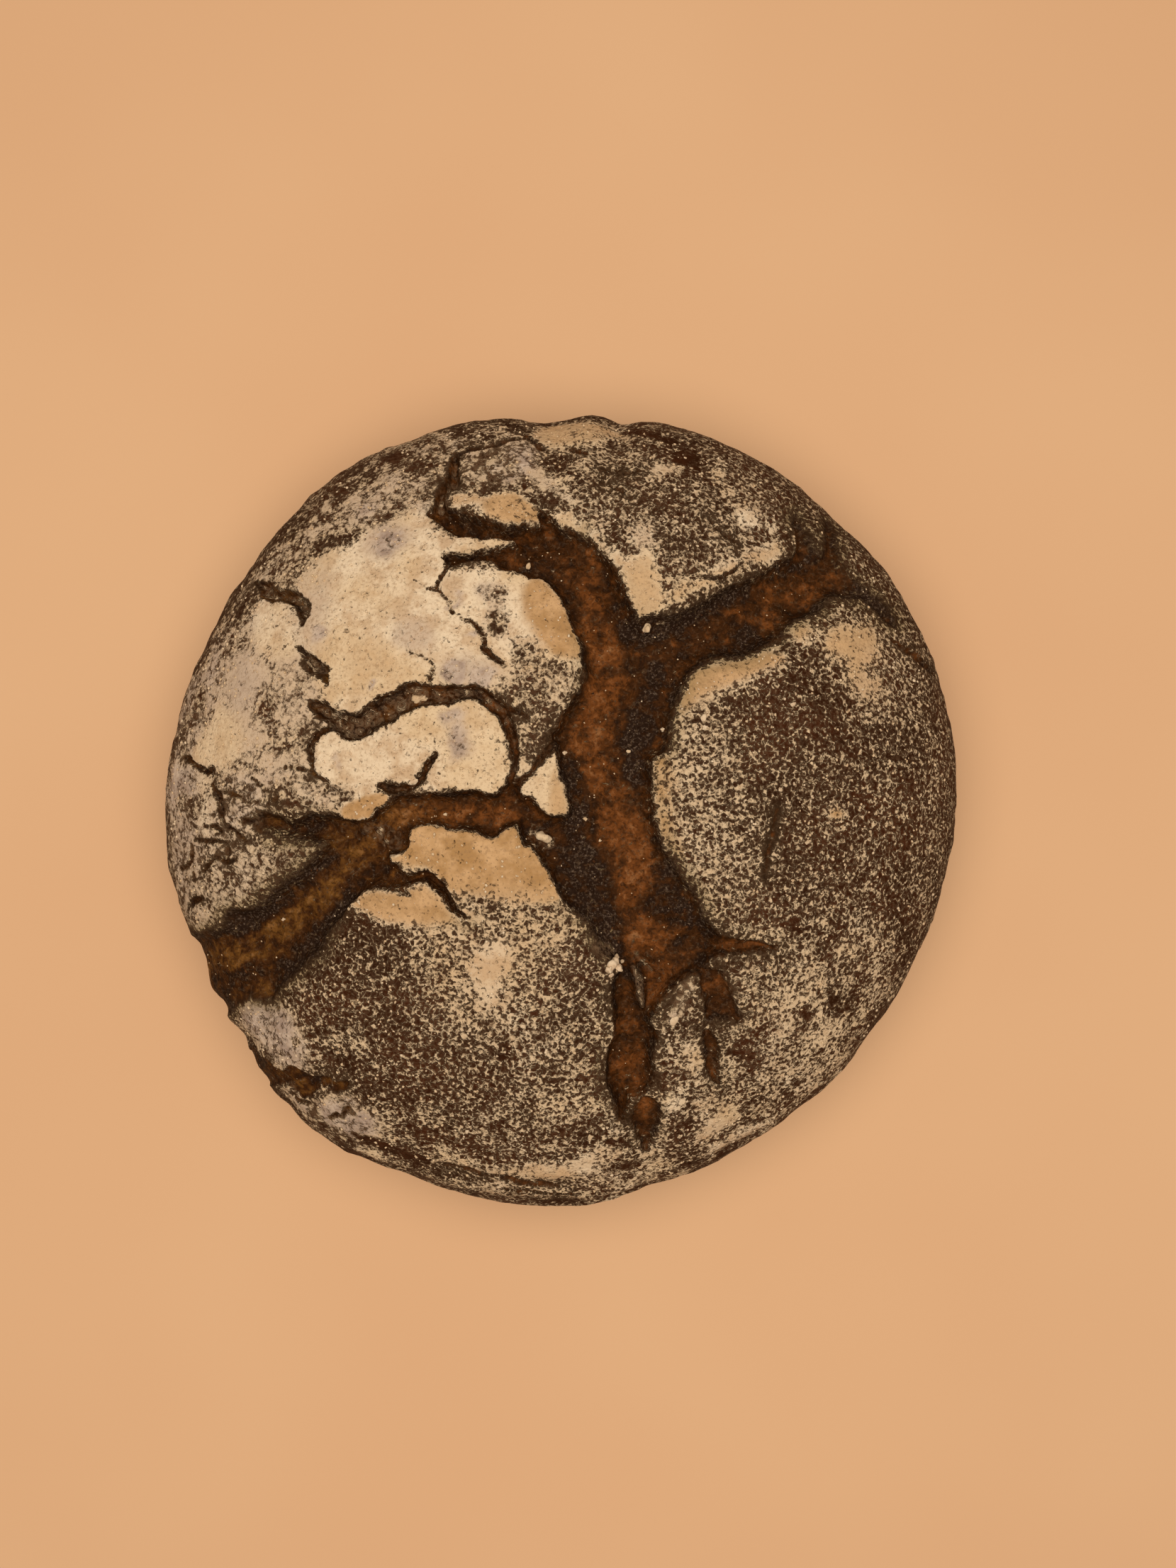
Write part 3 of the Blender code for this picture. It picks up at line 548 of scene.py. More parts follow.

# --- Its flour and its bake -----------------------------------------------------------
# Flour from the basket sticks to the dough: thick and cream-coloured in the upper left,
# a dusting of specks elsewhere. The bare crust under it is dark brown. In the tears it is
# blue-black along the edges, partly scorched and partly painted shade of the steep walls,
# and orange-brown in the middle, with painted highlights on the crumb's lumps and painted
# shade between them.

# Flour laid on in patches, each over the ones before: how much (0 to 1), its tint (-1 grey
# to 1 tan), how softly it ends, and its outline. A plain dusting lies over all else, with
# its own cover on the side and underneath.
DUSTING = 0.46
SIDE_DUSTING = 0.42
UNDER_DUSTING = 0.4
FLOUR_PATCHES = {
    "right_plate_left": (0.6, 0.25, 9, [
        (24, 12), (30, 30), (44, 30), (50, 5), (52, -20), (42, -34), (30, -18)]),
    "right_plate_dark": (0.4, -0.1, 9, [(56, 22), (66, 40), (86, 36), (88, 20), (70, 16)]),
    "right_rim": (0.5, 0.5, 8, [
        (96, 50), (112, 30), (116, 0), (110, -34), (98, -56), (88, -50), (98, -20), (100, 10),
        (92, 36)]),
    "top_plate": (0.54, -0.25, 9, [
        (8, 74), (30, 56), (62, 70), (72, 84), (50, 100), (20, 106), (-26, 104), (-26, 86)]),
    "upper_left_rim": (0.58, -0.5, 7, [
        (-28, 84), (-26, 104), (-60, 96), (-90, 66), (-106, 40), (-98, 36), (-70, 68), (-50, 78)]),
    "left_rim": (0.68, -0.8, 7, [
        (-100, 44), (-113, 20), (-114, -10), (-110, -34), (-94, -32), (-78, 2), (-60, 4), (-62, 24),
        (-84, 46)]),
    "left_low_wedge": (0.67, -0.5, 4, [
        (-100, -20), (-80, -10), (-64, -11), (-80, -24), (-94, -32), (-104, -34)]),
    "upper_left_band": (0.58, -0.5, 4, [
        (-74, 70), (-60, 72), (-50, 77), (-50, 84), (-62, 81), (-73, 76)]),
    "upper_left_skirt": (0.7, -0.45, 6, [
        (-96, 30), (-90, 48), (-74, 62), (-60, 70), (-58, 40), (-62, 8), (-78, 6), (-88, 4),
        (-98, 8)]),
    "skirt_cream": (0.97, -0.1, 3, [
        (-82, 54), (-77, 56), (-71, 52), (-69.5, 46), (-70, 42), (-76, 41), (-82, 44)]),
    "left_bare": (0.48, -0.5, 4, [
        (-88, 62), (-80, 66), (-72, 72), (-80, 76), (-96, 58), (-104, 38), (-96, 42)]),
    "left_bare_low": (0.62, -0.8, 4, [
        (-88, 6), (-80, 4), (-76, -2), (-88, -12), (-98, -14), (-96, 0)]),
    "cream_plate": (1.0, -0.05, 2.5, [
        (-66, 64), (-60, 69), (-53, 72), (-48, 75), (-40, 78.5), (-34, 77.5), (-30, 73.5),
        (-13, 71.5), (-11, 69.5), (-28, 66), (-28, 63), (-10, 62), (-1, 58), (3, 50), (5, 40),
        (-4, 36), (-12, 32), (-24, 31), (-36, 31), (-46, 26), (-52, 22), (-60, 27), (-66, 42),
        (-69, 52)]),
    "cream_yellow": (1.0, 0.35, 5, [(-57, 36), (-47, 28), (-39, 33), (-43, 46), (-54, 47)]),
    "cream_dull_edge": (0.96, -0.4, 4, [(-69, 60), (-62, 66), (-59, 56), (-64, 44), (-69, 48)]),
    "cream_dull_middle": (0.94, -0.45, 3, [(-42, 49), (-35, 50), (-31, 45), (-34, 40), (-43, 42)]),
    "cream_dull_low": (0.91, -0.5, 3, [(-31, 36), (-24, 40), (-15, 37), (-18, 32), (-28, 31.5)]),
    "cream_dull_top": (0.97, -0.5, 3, [(-50, 75), (-42, 77), (-38, 71), (-46, 66), (-52, 69)]),
    "tan_edge": (1.0, 0.85, 2.0, [
        (-8, 58.5), (-5, 61), (-1, 59), (2.5, 54), (5.5, 48), (8, 43), (7.5, 37), (2, 38), (-3, 39),
        (-5, 45), (-8, 50), (-9, 54)]),
    "cluster_1": (0.66, -0.5, 1.6, [(-20.5, 59), (-13.5, 58.5), (-14, 53.5), (-20, 54.5)]),
    "cluster_2": (0.62, -0.5, 2.0, [(-17.5, 52.5), (-12.5, 51.5), (-13, 44.5), (-17.5, 46)]),
    "cluster_3": (0.62, -0.3, 2.0, [(-10.5, 43.5), (-3, 42.5), (-3, 34), (-10, 34)]),
    "right_of_spiral": (0.57, -0.3, 3.0, [
        (-14, 36), (6, 38), (7, 31), (2, 24), (-2, 17), (-9, 9), (-10, 20), (-12, 27)]),
    "narrow_plate_tip": (0.95, -0.2, 1.2, [(-9.8, 13), (-7.2, 12), (-6.8, 8.5), (-9, 7)]),
    "plate_a": (1.0, 0.15, 1.6, [
        (-62, 20), (-58, 21.5), (-53, 19), (-48, 19.5), (-43, 22), (-38, 25), (-33.5, 25),
        (-32.5, 15), (-36, 7), (-44, 6), (-50, 0), (-58, -1), (-61, 6), (-63, 12)]),
    "plate_b": (0.97, 0.0, 1.6, [
        (-36, 25), (-30, 27), (-24, 27.5), (-18, 26.5), (-13.5, 21), (-12, 12), (-12, 6),
        (-18, 4.5), (-26, 5), (-35, 4.5), (-33, 12)]),
    "plate_a_grey": (0.62, -0.4, 2.0, [
        (-63, 8), (-55, 6), (-52, 2), (-60, -1.5), (-76, -1), (-72, 6)]),
    "bright_flake": (1.0, -0.15, 0.8, [
        (0, 15), (-1, 12), (-6, 8), (-9, 4.5), (-8.5, 3), (-6, 2.5), (-3, 0), (0, -2.5),
        (2.5, -2.5), (3.7, 0), (3, 3), (1.3, 8), (0.6, 12)]),
    "bright_flake_tan": (0.97, 0.6, 1.2, [
        (-0.5, 10), (1.5, 8), (3.7, 0), (2.5, -2.8), (-1.5, -1), (-1.5, 5)]),
    "tan_flake": (1.0, 0.9, 0.8, [
        (-56, 0), (-50, 2.3), (-45, 3.7), (-43.5, 1.2), (-47, -1), (-50, -3.6), (-55.5, -3)]),
    "middle_plate": (1.0, 0.85, 1.6, [
        (-46, -12), (-42, -7), (-36, -4), (-12, -4), (-4, -10), (-1, -16), (2, -24), (-6, -25.5),
        (-16, -26), (-26, -24), (-32, -17), (-41, -15)]),
    "below_middle": (0.65, 0.45, 6, [
        (-30, -24), (4, -25), (8, -34), (0, -50), (-12, -62), (-30, -58), (-36, -40), (-34, -28)]),
    "tan_corner": (0.97, 0.8, 2.2, [
        (-54, -26), (-50, -22.5), (-46, -21.5), (-42, -21.8), (-38, -21.5), (-34, -21), (-30, -24),
        (-27, -29.5), (-35, -31), (-45, -30), (-50, -28.5)]),
    "tan_blot": (0.96, 0.35, 2.4, [
        (-18, -36), (-13, -35.5), (-12, -40), (-14, -45), (-15.5, -51), (-18, -53), (-19.5, -49),
        (-21.5, -44), (-20, -39)]),
    "grey_veil": (0.57, -0.2, 9, [(-8, -52), (8, -54), (8, -72), (-4, -76), (-12, -64)]),
    "wedge": (1.0, 0.45, 1.6, [
        (10, 70), (13, 69), (15, 66), (18, 61), (19.5, 56), (22, 50), (27, 51), (29, 54),
        (27.5, 59), (26, 65), (24, 68), (20, 65.5), (16, 68)]),
    "top_tan_1": (0.96, 0.55, 1.4, [(-29, 83), (-26, 85), (-21, 84.5), (-20, 81.5), (-26, 81)]),
    "top_tan_2": (0.9, 0.75, 1.4, [
        (-20, 82), (-15, 84), (-10, 84), (-6, 81), (-3.5, 79.5), (-4.5, 76), (-8, 75.5), (-12, 76),
        (-16, 76.5), (-19, 78.5)]),
    "tear_lip": (0.88, 0.1, 1.2, [
        (-1, 79.5), (4, 78.3), (8, 75), (11.5, 71.5), (10, 71), (6, 74), (0, 77)]),
    "top_rim_flap": (0.85, 0.5, 2.2, [
        (-7, 100), (-6, 106), (4, 109), (16, 107), (20, 104), (12, 101), (2, 99)]),
    "top_brown": (0.55, 0.6, 2.5, [(-27, 91), (-26, 98), (-18, 99), (-16, 93)]),
    "top_spot_1": (0.9, 0.1, 2.2, [(49.5, 79), (51.5, 82), (54.5, 80.5), (55, 77), (51.5, 76)]),
    "top_spot_2": (0.85, -0.1, 1.8, [(45, 86), (47, 88), (49, 86), (47, 84)]),
    "top_spot_3": (0.8, 0.1, 1.5, [(57.5, 76), (59, 77.5), (60.5, 76), (59, 74.5)]),
    "top_spot_4": (0.85, 0.0, 2.0, [(43, 92), (45, 94), (47, 92), (45, 90)]),
    "top_spot_5": (0.85, 0.1, 2.2, [(-1, 88), (1.5, 90.5), (4, 88), (1.5, 85.5)]),
    "top_spot_6": (0.8, 0.0, 2.0, [(20.5, 72), (23, 75), (26, 72.5), (23.5, 70)]),
    "top_bare": (0.34, 0.1, 4, [(34, 93), (40, 92), (40, 99), (33, 100)]),
    "arm_strip": (0.8, 0.45, 1.8, [
        (31, 52.5), (37, 56.5), (44, 60.3), (50, 63.3), (56, 65.3), (62, 69.5), (60, 72), (50, 67),
        (40, 61.5), (30, 57)]),
    "right_tan_top": (0.93, 0.75, 2.4, [
        (35, 35), (42, 38), (50, 40), (58, 42), (62, 39), (56, 35.5), (48, 32.5), (43, 30.5),
        (38, 28), (33, 24)]),
    "right_tan_left": (0.64, 0.9, 2.0, [
        (26.5, 14), (26, 5), (26.8, -3), (28, -9), (33, -14), (35, -12), (32, -5), (31, 4),
        (30.5, 12)]),
    "right_tan_veil": (0.58, 0.5, 6, [(70, 50), (86, 52), (94, 44), (94, 24), (82, 20), (76, 36)]),
    "right_tan_corner": (0.92, 0.6, 4, [
        (73, 44), (76, 48), (80, 48), (86, 49), (88, 44), (86, 40), (84, 36), (88, 33), (84, 30),
        (80, 33), (80, 39), (75, 41)]),
    "right_tan_2": (0.8, 0.7, 3, [(63, 46), (66, 49.5), (69, 47), (66, 43.5)]),
    "right_spot": (0.85, 0.9, 2.2, [(72.5, -2), (75, 0.5), (77.5, -2), (75, -4.5)]),
    "right_bright": (0.72, -0.1, 5, [(52, -44), (60, -42), (68, -38), (64, -50), (54, -54)]),
    "right_low_veil": (0.6, -0.2, 9, [
        (44, -60), (66, -40), (84, -44), (80, -66), (56, -84), (44, -78)]),
    "left_solid_1": (0.97, -0.15, 3, [
        (-92, 27), (-88, 25), (-85, 20), (-85, 15), (-87, 11), (-93, 10), (-100, 11), (-102, 14),
        (-98, 20), (-95, 24)]),
    "left_pinkish": (1.0, -0.6, 4, [(-88, 39), (-83, 41), (-80, 34), (-82, 27), (-88, 27)]),
    "left_semi": (0.78, -0.2, 4, [(-98, 8), (-94, 8), (-93, 0), (-94, -9), (-98, -8)]),
    "upper_left_top": (0.78, -0.5, 4, [
        (-54, 79), (-52, 86), (-42, 90), (-34, 87), (-33, 80), (-40, 79.5), (-48, 77.5)]),
    "low_left_solid": (0.84, -0.95, 5, [
        (-89, -55), (-82, -54), (-75, -55), (-70, -60), (-67, -67), (-69, -72), (-77, -71),
        (-83, -67), (-90, -61)]),
    "low_left_rim": (0.79, -0.9, 5, [
        (-76, -80), (-66, -81.5), (-56, -78), (-50, -82), (-48, -89), (-58, -95), (-68, -90)]),
    "bottom_left_dark": (0.42, 0.0, 5, [(-56, -70), (-40, -68), (-36, -84), (-50, -82)]),
    "low_rim_pale": (0.6, 0.1, 8, [
        (-30, -84), (0, -84), (30, -84), (56, -77), (70, -70), (74, -78), (54, -100), (20, -112),
        (-30, -108)]),
    "bottom_band": (0.84, 0.45, 2.0, [
        (-22, -100.5), (-14, -99.3), (-5, -98), (3, -97.5), (9, -95.5), (12, -92.5), (18, -93),
        (18, -96.5), (10, -99), (3, -101.5), (0, -104), (-8, -103.3), (-18, -102.3)]),
    "low_tan": (0.68, 0.4, 5, [(30, -86), (46, -80), (52, -90), (36, -98)]),
    "island": (0.8, -0.5, 1.4, [
        (19.5, -42.5), (22, -43), (24.5, -46), (25, -50), (24, -54), (22, -55), (20.5, -51),
        (19.3, -46)]),
    "grey_strip": (0.5, -1.0, 1.6, [
        (27.5, -64), (30, -60), (33.5, -56), (36.5, -50), (37.5, -45), (35, -45), (31.5, -50),
        (28.5, -57)]),
    "white_patch": (0.95, -0.5, 1.2, [(30, -58), (32, -58.5), (32.5, -55.5), (30.5, -54.5)]),
    "beside_finger": (0.56, 0.2, 4, [
        (28, -62), (36, -58), (38, -76), (36, -94), (29, -94), (30, -80)]),
    "tan_by_slit": (0.85, 0.4, 2, [(35.5, -64), (39, -65), (39, -74), (36, -74)]),
    "tan_dot": (0.8, 0.4, 1.5, [(38, -80), (41, -80), (41.5, -84), (38.5, -84)]),
    "top_brown_plate": (0.62, -0.9, 3, [
        (-25, 98), (-8, 101), (-4, 96), (-10, 88), (-20, 86), (-25, 88)]),
    "top_white_1": (0.8, -0.4, 2, [(-9, 92), (-4, 91), (2, 86), (5, 82), (2, 81), (-4, 86)]),
    "top_white_2": (0.82, -0.3, 1.6, [(26, 93), (34, 93.5), (34, 91.5), (27, 91)]),
    "top_white_3": (0.78, -0.3, 2, [(20, 74), (26, 76), (26, 70), (22, 68)]),
}

# Grey stains on the thick flour: x, y, radius. Each greys the flour and thins it a little.
STAIN_GREY = 0.8
STAIN_THINNING = 0.05
GREY_STAINS = [
    (-49, 79, 4), (-45, 71, 5), (-63, 46, 3), (-49, 33, 2.5), (-25, 17, 6), (-27, 24, 4),
    (-26, 36, 4), (-18, 34, 3), (-26, 55, 2), (-27, 52, 1.5), (-47.5, 33, 2), (-57, 12, 2),
    (-21, 46, 2)]

# Places with hardly any flour: the share that is gone, and brush strokes of x, y, half-width.
BARE_SHARE = 0.72
BARE_MARKS = {
    "scratch": [
        (59.2, 2, 0.5), (58.2, -4, 0.9), (57.2, -9, 1), (56.2, -13, 0.8), (55.3, -19.5, 0.5)],
    "reddish": [(61.5, -32, 1.4), (65, -32.5, 1.2)],
    "spot_1": [(66.5, -55.5, 1), (68, -57, 0.8)],
    "spot_2": [(46.5, -66.5, 0.2), (50, -67, 0.8), (54.5, -68.5, 0.5)],
    "spot_3": [(52, -70, 0.3), (54, -72.5, 0.6)],
    "spot_4": [(75.5, -53, 1), (77, -53.2, 0.8)],
    "top_spot": [(34.5, 96, 1.8), (38, 96, 1.4)],
    "low_spot": [(-13, -66.5, 1.2), (-13.2, -64, 1)],
    "hole": [(-70.7, -64, 0.6), (-70.2, -64.2, 0.5)],
    "low_left_band": [(-55, -91.5, 1), (-48, -94.6, 1.6), (-42, -97, 1.4), (-36, -99, 0.8)],
    "rim_dash": [(20, 105.3, 0.8), (27, 103.6, 0.9), (33, 101, 0.7)],
    "scab_1": [(-68.3, 55, 1.2), (-68, 51, 1.2)],
    "scab_2": [(-66.5, 38.5, 1.4), (-62, 36, 1.6)],
}

# Flour and floury scabs inside the tears: how much, tint, and a brush stroke.
FLOUR_IN_TEARS = [
    (0.52, -0.9, [(-70.2, 56.5, 1.4), (-68.5, 53, 1.2), (-68.4, 50.5, 0.5)]),
    (0.52, -0.9, [(-66, 39.4, 1), (-63, 36.8, 1.2)]),
    (0.46, -0.6, [(-80, 59, 0.8), (-75, 57.8, 1)]),
    (0.48, -0.9, [(21, -43, 0.6), (22.3, -46.5, 1.1), (23.2, -50.5, 1), (23.8, -54, 0.4)]),
    (0.42, -0.8, [(20.5, -36, 0.6), (22, -40, 1), (26, -44, 0.8)]),
    (0.6, -0.2, [(-58.5, 24.6, 1.2), (-56.5, 23.4, 0.8)]),
    (0.45, -0.3, [(-78.5, -6.6, 0.8), (-66, -10, 1.2)]),
    (0.46, -0.3, [(-4.5, -7.5, 2.2), (-2, -9.5, 1.6)]),
    (0.42, -0.8, [(-50, -5.5, 2), (-45, -8, 2.6), (-42, -11, 2)]),
    (0.42, -0.9, [(10, -36, 1.5), (14, -39, 2)]),
]

# The middle of each wide tear, where the crumb baked orange: how much, and a brush stroke.
ORANGE_MIDDLES = [
    (1.0, [
        (11, 68, 1), (10, 60, 2.6), (12, 50, 3.6), (13.5, 41, 3.6), (13.5, 32, 5.2), (12, 24, 6),
        (9.5, 17, 5.4), (11, 10.5, 2.6), (15.5, 4, 4.2), (17, -4, 5), (21, -13, 5), (21, -20, 4.6),
        (19.5, -26, 3.2), (20, -30, 2.4), (23.5, -35, 5), (27, -41, 4.6), (28, -48, 2.8),
        (27, -53, 1.2)]),
    (0.35, [(-2, -9, 2), (5, -8, 3.4), (11, -8, 2)]),
    (0.35, [(33, 43.5, 2), (42, 46, 3), (52, 50.5, 3.6), (60, 55, 4)]),
    (0.65, [(60, 55.5, 3), (70, 61.5, 4), (77, 65, 3)]),
    (0.85, [(-12, -2, 1.6), (-22, -1, 2.6), (-34, -1, 2.4), (-42, -4, 2.4)]),
    (0.9, [
        (-50, -11, 2), (-56, -16, 2.6), (-61, -21.5, 3), (-68, -27.5, 3.4), (-76, -33, 3.4),
        (-85, -38.5, 3.6), (-94, -43, 3.4), (-104, -47, 3)]),
    (0.85, [(20, -50, 2), (20, -60, 4), (20, -70, 4.4), (19.5, -78, 3), (18, -84, 1)]),
    (0.5, [(25.2, -82, 2.4), (25.4, -92, 2)]),
    (0.75, [(38, -35, 2), (46, -36.5, 1.8), (57, -37.4, 1)]),
    (0.3, [(40.5, -45, 2.6), (44, -50, 3.4), (47, -56, 2.4)]),
    (0.35, [(41, -62, 1), (42.5, -68, 1.6), (43.6, -75, 0.8)]),
    (0.45, [(-84, -70, 2), (-76, -75.5, 3), (-66, -77, 2.4), (-57, -76, 1)]),
]

# Edges and margins of the tears that are darker, partly scorched and partly painted shade
# of the steep walls: brush strokes of x, y, half-width.
SCORCHED_AND_SHADED = [
    [
        (6, 12, 1.6), (4, 5, 2.4), (6, -2, 2.6), (6, -14, 5), (8.5, -21, 7), (12, -30, 5.4),
        (16, -38, 3)],
    [(26, -28, 2.4), (31, -29, 2.6)],
    [(15.5, -45, 1.6), (16.5, -49, 1)],
    [(21.5, -44, 1.8), (22.5, -50, 2), (23, -54, 1.2)],
    [(-62, -15, 2), (-70, -21.5, 2.4), (-80, -28.5, 2.4), (-90, -35, 2)],
    [(-56, -25, 1.6), (-62, -32, 2.4), (-69, -40, 2.4), (-75, -46, 2)],
    [(22, 47, 4), (30, 49, 2.6), (40, 54, 2), (52, 60, 2)],
    [(27, 35, 2), (24, 27, 3), (22, 16, 3), (22, 8, 2)],
    [(30, -18, 2.6), (34, -27, 3), (40, -34, 3)],
    [(84, 58, 3), (90, 55, 3)],
]

# Dust left in the wide tears, and the cover and tint of the dustier floors of wide cracks.
TEAR_DUST = 0.17
CRACK_DUST = 0.38
CRACK_TINT = -0.95

# The crumb in the left arm was drawn out in strands: their turn, length and width. It turns
# from brown to golden between these places across the loaf.
ARM_TURN = math.radians(37.0)
STRAND_LENGTH = 9.0
STRAND_WIDTH = 1.7
GOLD_FROM_TO = (-20.0, -60.0)


def side_share(radius):
    """0 on the top of the dome, 1 at its widest ring."""
    return ease(ease(radius, 0.90 * RADIUS, RADIUS), 0.0, 1.0)


def paint(places, wide, narrow):
    """Flour cover, flour tint, crispness and how the tears are baked at each place, the bake
    value also carrying painted shade along the tears' edges and between the crumb's lumps.
    """
    x, y = ragged(places)
    radius = np.hypot(x, y)
    cover = np.full(len(x), DUSTING)
    tint = np.zeros(len(x))
    for share, patch_tint, softness, outline in FLOUR_PATCHES.values():
        inside = ease(inside_outline(x, y, outline, FAR), -softness, softness)
        cover += inside * (share - cover)
        tint += inside * (patch_tint - tint)
    torn_x = x + 2.4 * soft_noise(places, 3.6, 57)
    torn_y = y + 2.4 * soft_noise(places, 3.6, 58)
    for stain_x, stain_y, size in GREY_STAINS:
        stain = 1.0 - ease(np.hypot(torn_x - stain_x, torn_y - stain_y), 0.1 * size, 1.2 * size)
        tint -= STAIN_GREY * stain
        cover -= STAIN_THINNING * stain
    cover += side_share(radius) * (SIDE_DUSTING - cover) * 0.6
    above = ease(places[:, 2], 0.3 * BELLY_HEIGHT, 0.8 * BELLY_HEIGHT)
    cover = UNDER_DUSTING + (cover - UNDER_DUSTING) * above
    tint *= above
    crisp = crispness(x, y)
    patchy = 0.045 + 0.11 * crisp + 0.08 * ease(-y, 72.0, 86.0)
    patchy *= ease(cover, 1.0, 0.85)
    cover += patchy * layered(places, [(1.0, 9.0, 51), (1.0, 4.0, 52)])
    cover += 0.17 * above * rim_folds(places)
    for line in BARE_MARKS.values():
        cover *= 1.0 - BARE_SHARE * ease(inside_stroke(x, y, line, NEAR), -1.0, 0.6)
    crisp += (1.0 - crisp) * ease(narrow - wide, 0.0, 2.0) * ease(narrow, -9.0, -6.0)
    crisp = 0.3 + 0.7 * crisp
    edge = np.maximum(wide, narrow)
    dust = (TEAR_DUST + 0.1 * soft_noise(places, 5.0, 55)) * (1.0 - ease(wide, 0.5, 5.0))
    cracked = ease(narrow, 0.1, 1.1) * (1.0 - ease(wide, -0.5, 0.5))
    dust += cracked * (CRACK_DUST - dust)
    tint += cracked * (CRACK_TINT - tint)
    bare = ease(edge, -2.6 + 2.0 * crisp, 0.6)
    cover = cover * (1.0 - bare) + np.maximum(dust, 0.1) * bare
    for share, patch_tint, line in FLOUR_IN_TEARS:
        inside = ease(inside_stroke(x, y, line, NEAR), -1.0, 0.6)
        cover += inside * np.maximum(share - cover, 0.0)
        tint += inside * (patch_tint - tint)
    orange = np.zeros(len(x))
    for share, line in ORANGE_MIDDLES:
        orange = np.maximum(orange, share * ease(inside_stroke(x, y, line, FAR), -3.0, 2.0))
    scorch_and_shade = np.full(len(x), -FAR)
    for line in SCORCHED_AND_SHADED:
        scorch_and_shade = np.maximum(scorch_and_shade, inside_stroke(x, y, line, FAR))
    along_arm = x * math.cos(ARM_TURN) + y * math.sin(ARM_TURN)
    across_arm = y * math.cos(ARM_TURN) - x * math.sin(ARM_TURN)
    strands = np.column_stack([along_arm / STRAND_LENGTH, across_arm / STRAND_WIDTH,
                               np.zeros(len(x))])
    gold = ease(x, *GOLD_FROM_TO)
    bake_and_shade = np.maximum(orange, 0.2 * crisp) + 0.45 * gold * soft_noise(strands, 1.0, 56)
    # Painted light and shade: the crumb is lighter on the lumps that the floor's relief raises and
    # darker in the hollows between them.
    bake_and_shade += 0.5 * layered(places, CRUMB_LUMPS)
    # These strokes darken the bake value: partly scorching, partly painted shade of the walls.
    bake_and_shade -= ease(scorch_and_shade, -2.5, 2.0) * (1.0 - 0.5 * orange)
    # Painted shade just inside each wide tear's edge, where the wall falls: a ragged band, narrower
    # and weaker where the skin tore crisply.
    shaded_margin = 2.4 + 1.6 * soft_noise(places, 9.0, 53) + 0.8 * soft_noise(places, 3.5, 54)
    shaded_margin = np.maximum(shaded_margin * (1.0 - 0.6 * crisp), 0.7)
    bake_and_shade -= (0.7 - 0.3 * crisp) * (1.0 - ease(wide, 0.0, shaded_margin)) * ease(wide, -3.0, -0.5)
    return {"cover": cover, "tint": tint, "crisp": crisp, "bake_and_shade": bake_and_shade, "gold": gold,
            "torn": np.maximum(wide, narrow - 0.25)}


for name, values in paint(body, wide, narrow).items():
    layer = loaf_mesh.attributes.new(name, "FLOAT", "POINT")
    layer.data.foreach_set("value", values.astype(np.float32))


def colour(red, green, blue):
    """A paint-chart colour, 0 to 255 a channel, as the light values that Blender mixes."""
    chart = np.array((red, green, blue)) / 255.0
    light = np.where(chart <= 0.04045, chart / 12.92, ((chart + 0.055) / 1.055) ** 2.4)
    return (*light, 1.0)


def node(tree, kind, inputs=None, **settings):
    """Adds a node; an input is given a plain value, or linked when it is given a socket."""
    new = tree.nodes.new(kind)
    for name, value in settings.items():
        setattr(new, name, value)
    for name, value in (inputs or {}).items():
        if isinstance(value, bpy.types.NodeSocket):
            tree.links.new(value, new.inputs[name])
        else:
            new.inputs[name].default_value = value
    return new


def spread(tree, value, low, high, to_low=0.0, to_high=1.0):
    """`value` taken smoothly from the range low..high to to_low..to_high."""
    ranges = {"Value": value, "From Min": low, "From Max": high, "To Min": to_low,
              "To Max": to_high}
    return node(tree, "ShaderNodeMapRange", ranges, interpolation_type="SMOOTHSTEP").outputs[0]


def sums(tree, how, first, second=0.0, third=0.0):
    """One sum on up to three values, such as ADD or MULTIPLY_ADD."""
    return node(tree, "ShaderNodeMath", {0: first, 1: second, 2: third}, operation=how).outputs[0]


def blend(tree, share, first, second):
    """Two colours mixed."""
    return node(tree, "ShaderNodeMix", {0: share, 6: first, 7: second},
                data_type="RGBA").outputs[2]


def mixed(tree, share, first, second):
    """Two values mixed."""
    return node(tree, "ShaderNodeMix", {0: share, 2: first, 3: second},
                data_type="FLOAT").outputs[0]


def new_group(name, inputs, outputs):
    """An empty node group with named inputs and outputs, each a float or a colour."""
    tree = bpy.data.node_groups.new(name, "ShaderNodeTree")
    for label, start in inputs.items():
        socket = tree.interface.new_socket(label, in_out="INPUT", socket_type="NodeSocketFloat")
        socket.default_value = start
    for label, kind in outputs.items():
        tree.interface.new_socket(label, in_out="OUTPUT", socket_type="NodeSocket" + kind)
    return tree, tree.nodes.new("NodeGroupInput").outputs, tree.nodes.new("NodeGroupOutput").inputs


def give(tree, out, **values):
    """Joins a group's values to its named outputs."""
    for label, value in values.items():
        tree.links.new(value, out[label])


def noise(tree, place, size, detail=2.0, roughness=0.5, distortion=0.0):
    """Noise whose humps are about `size` millimetres apart."""
    grain = {"Vector": place, "Scale": 1.0 / (size * MM), "Detail": detail,
             "Roughness": roughness, "Distortion": distortion}
    return node(tree, "ShaderNodeTexNoise", grain).outputs[0]


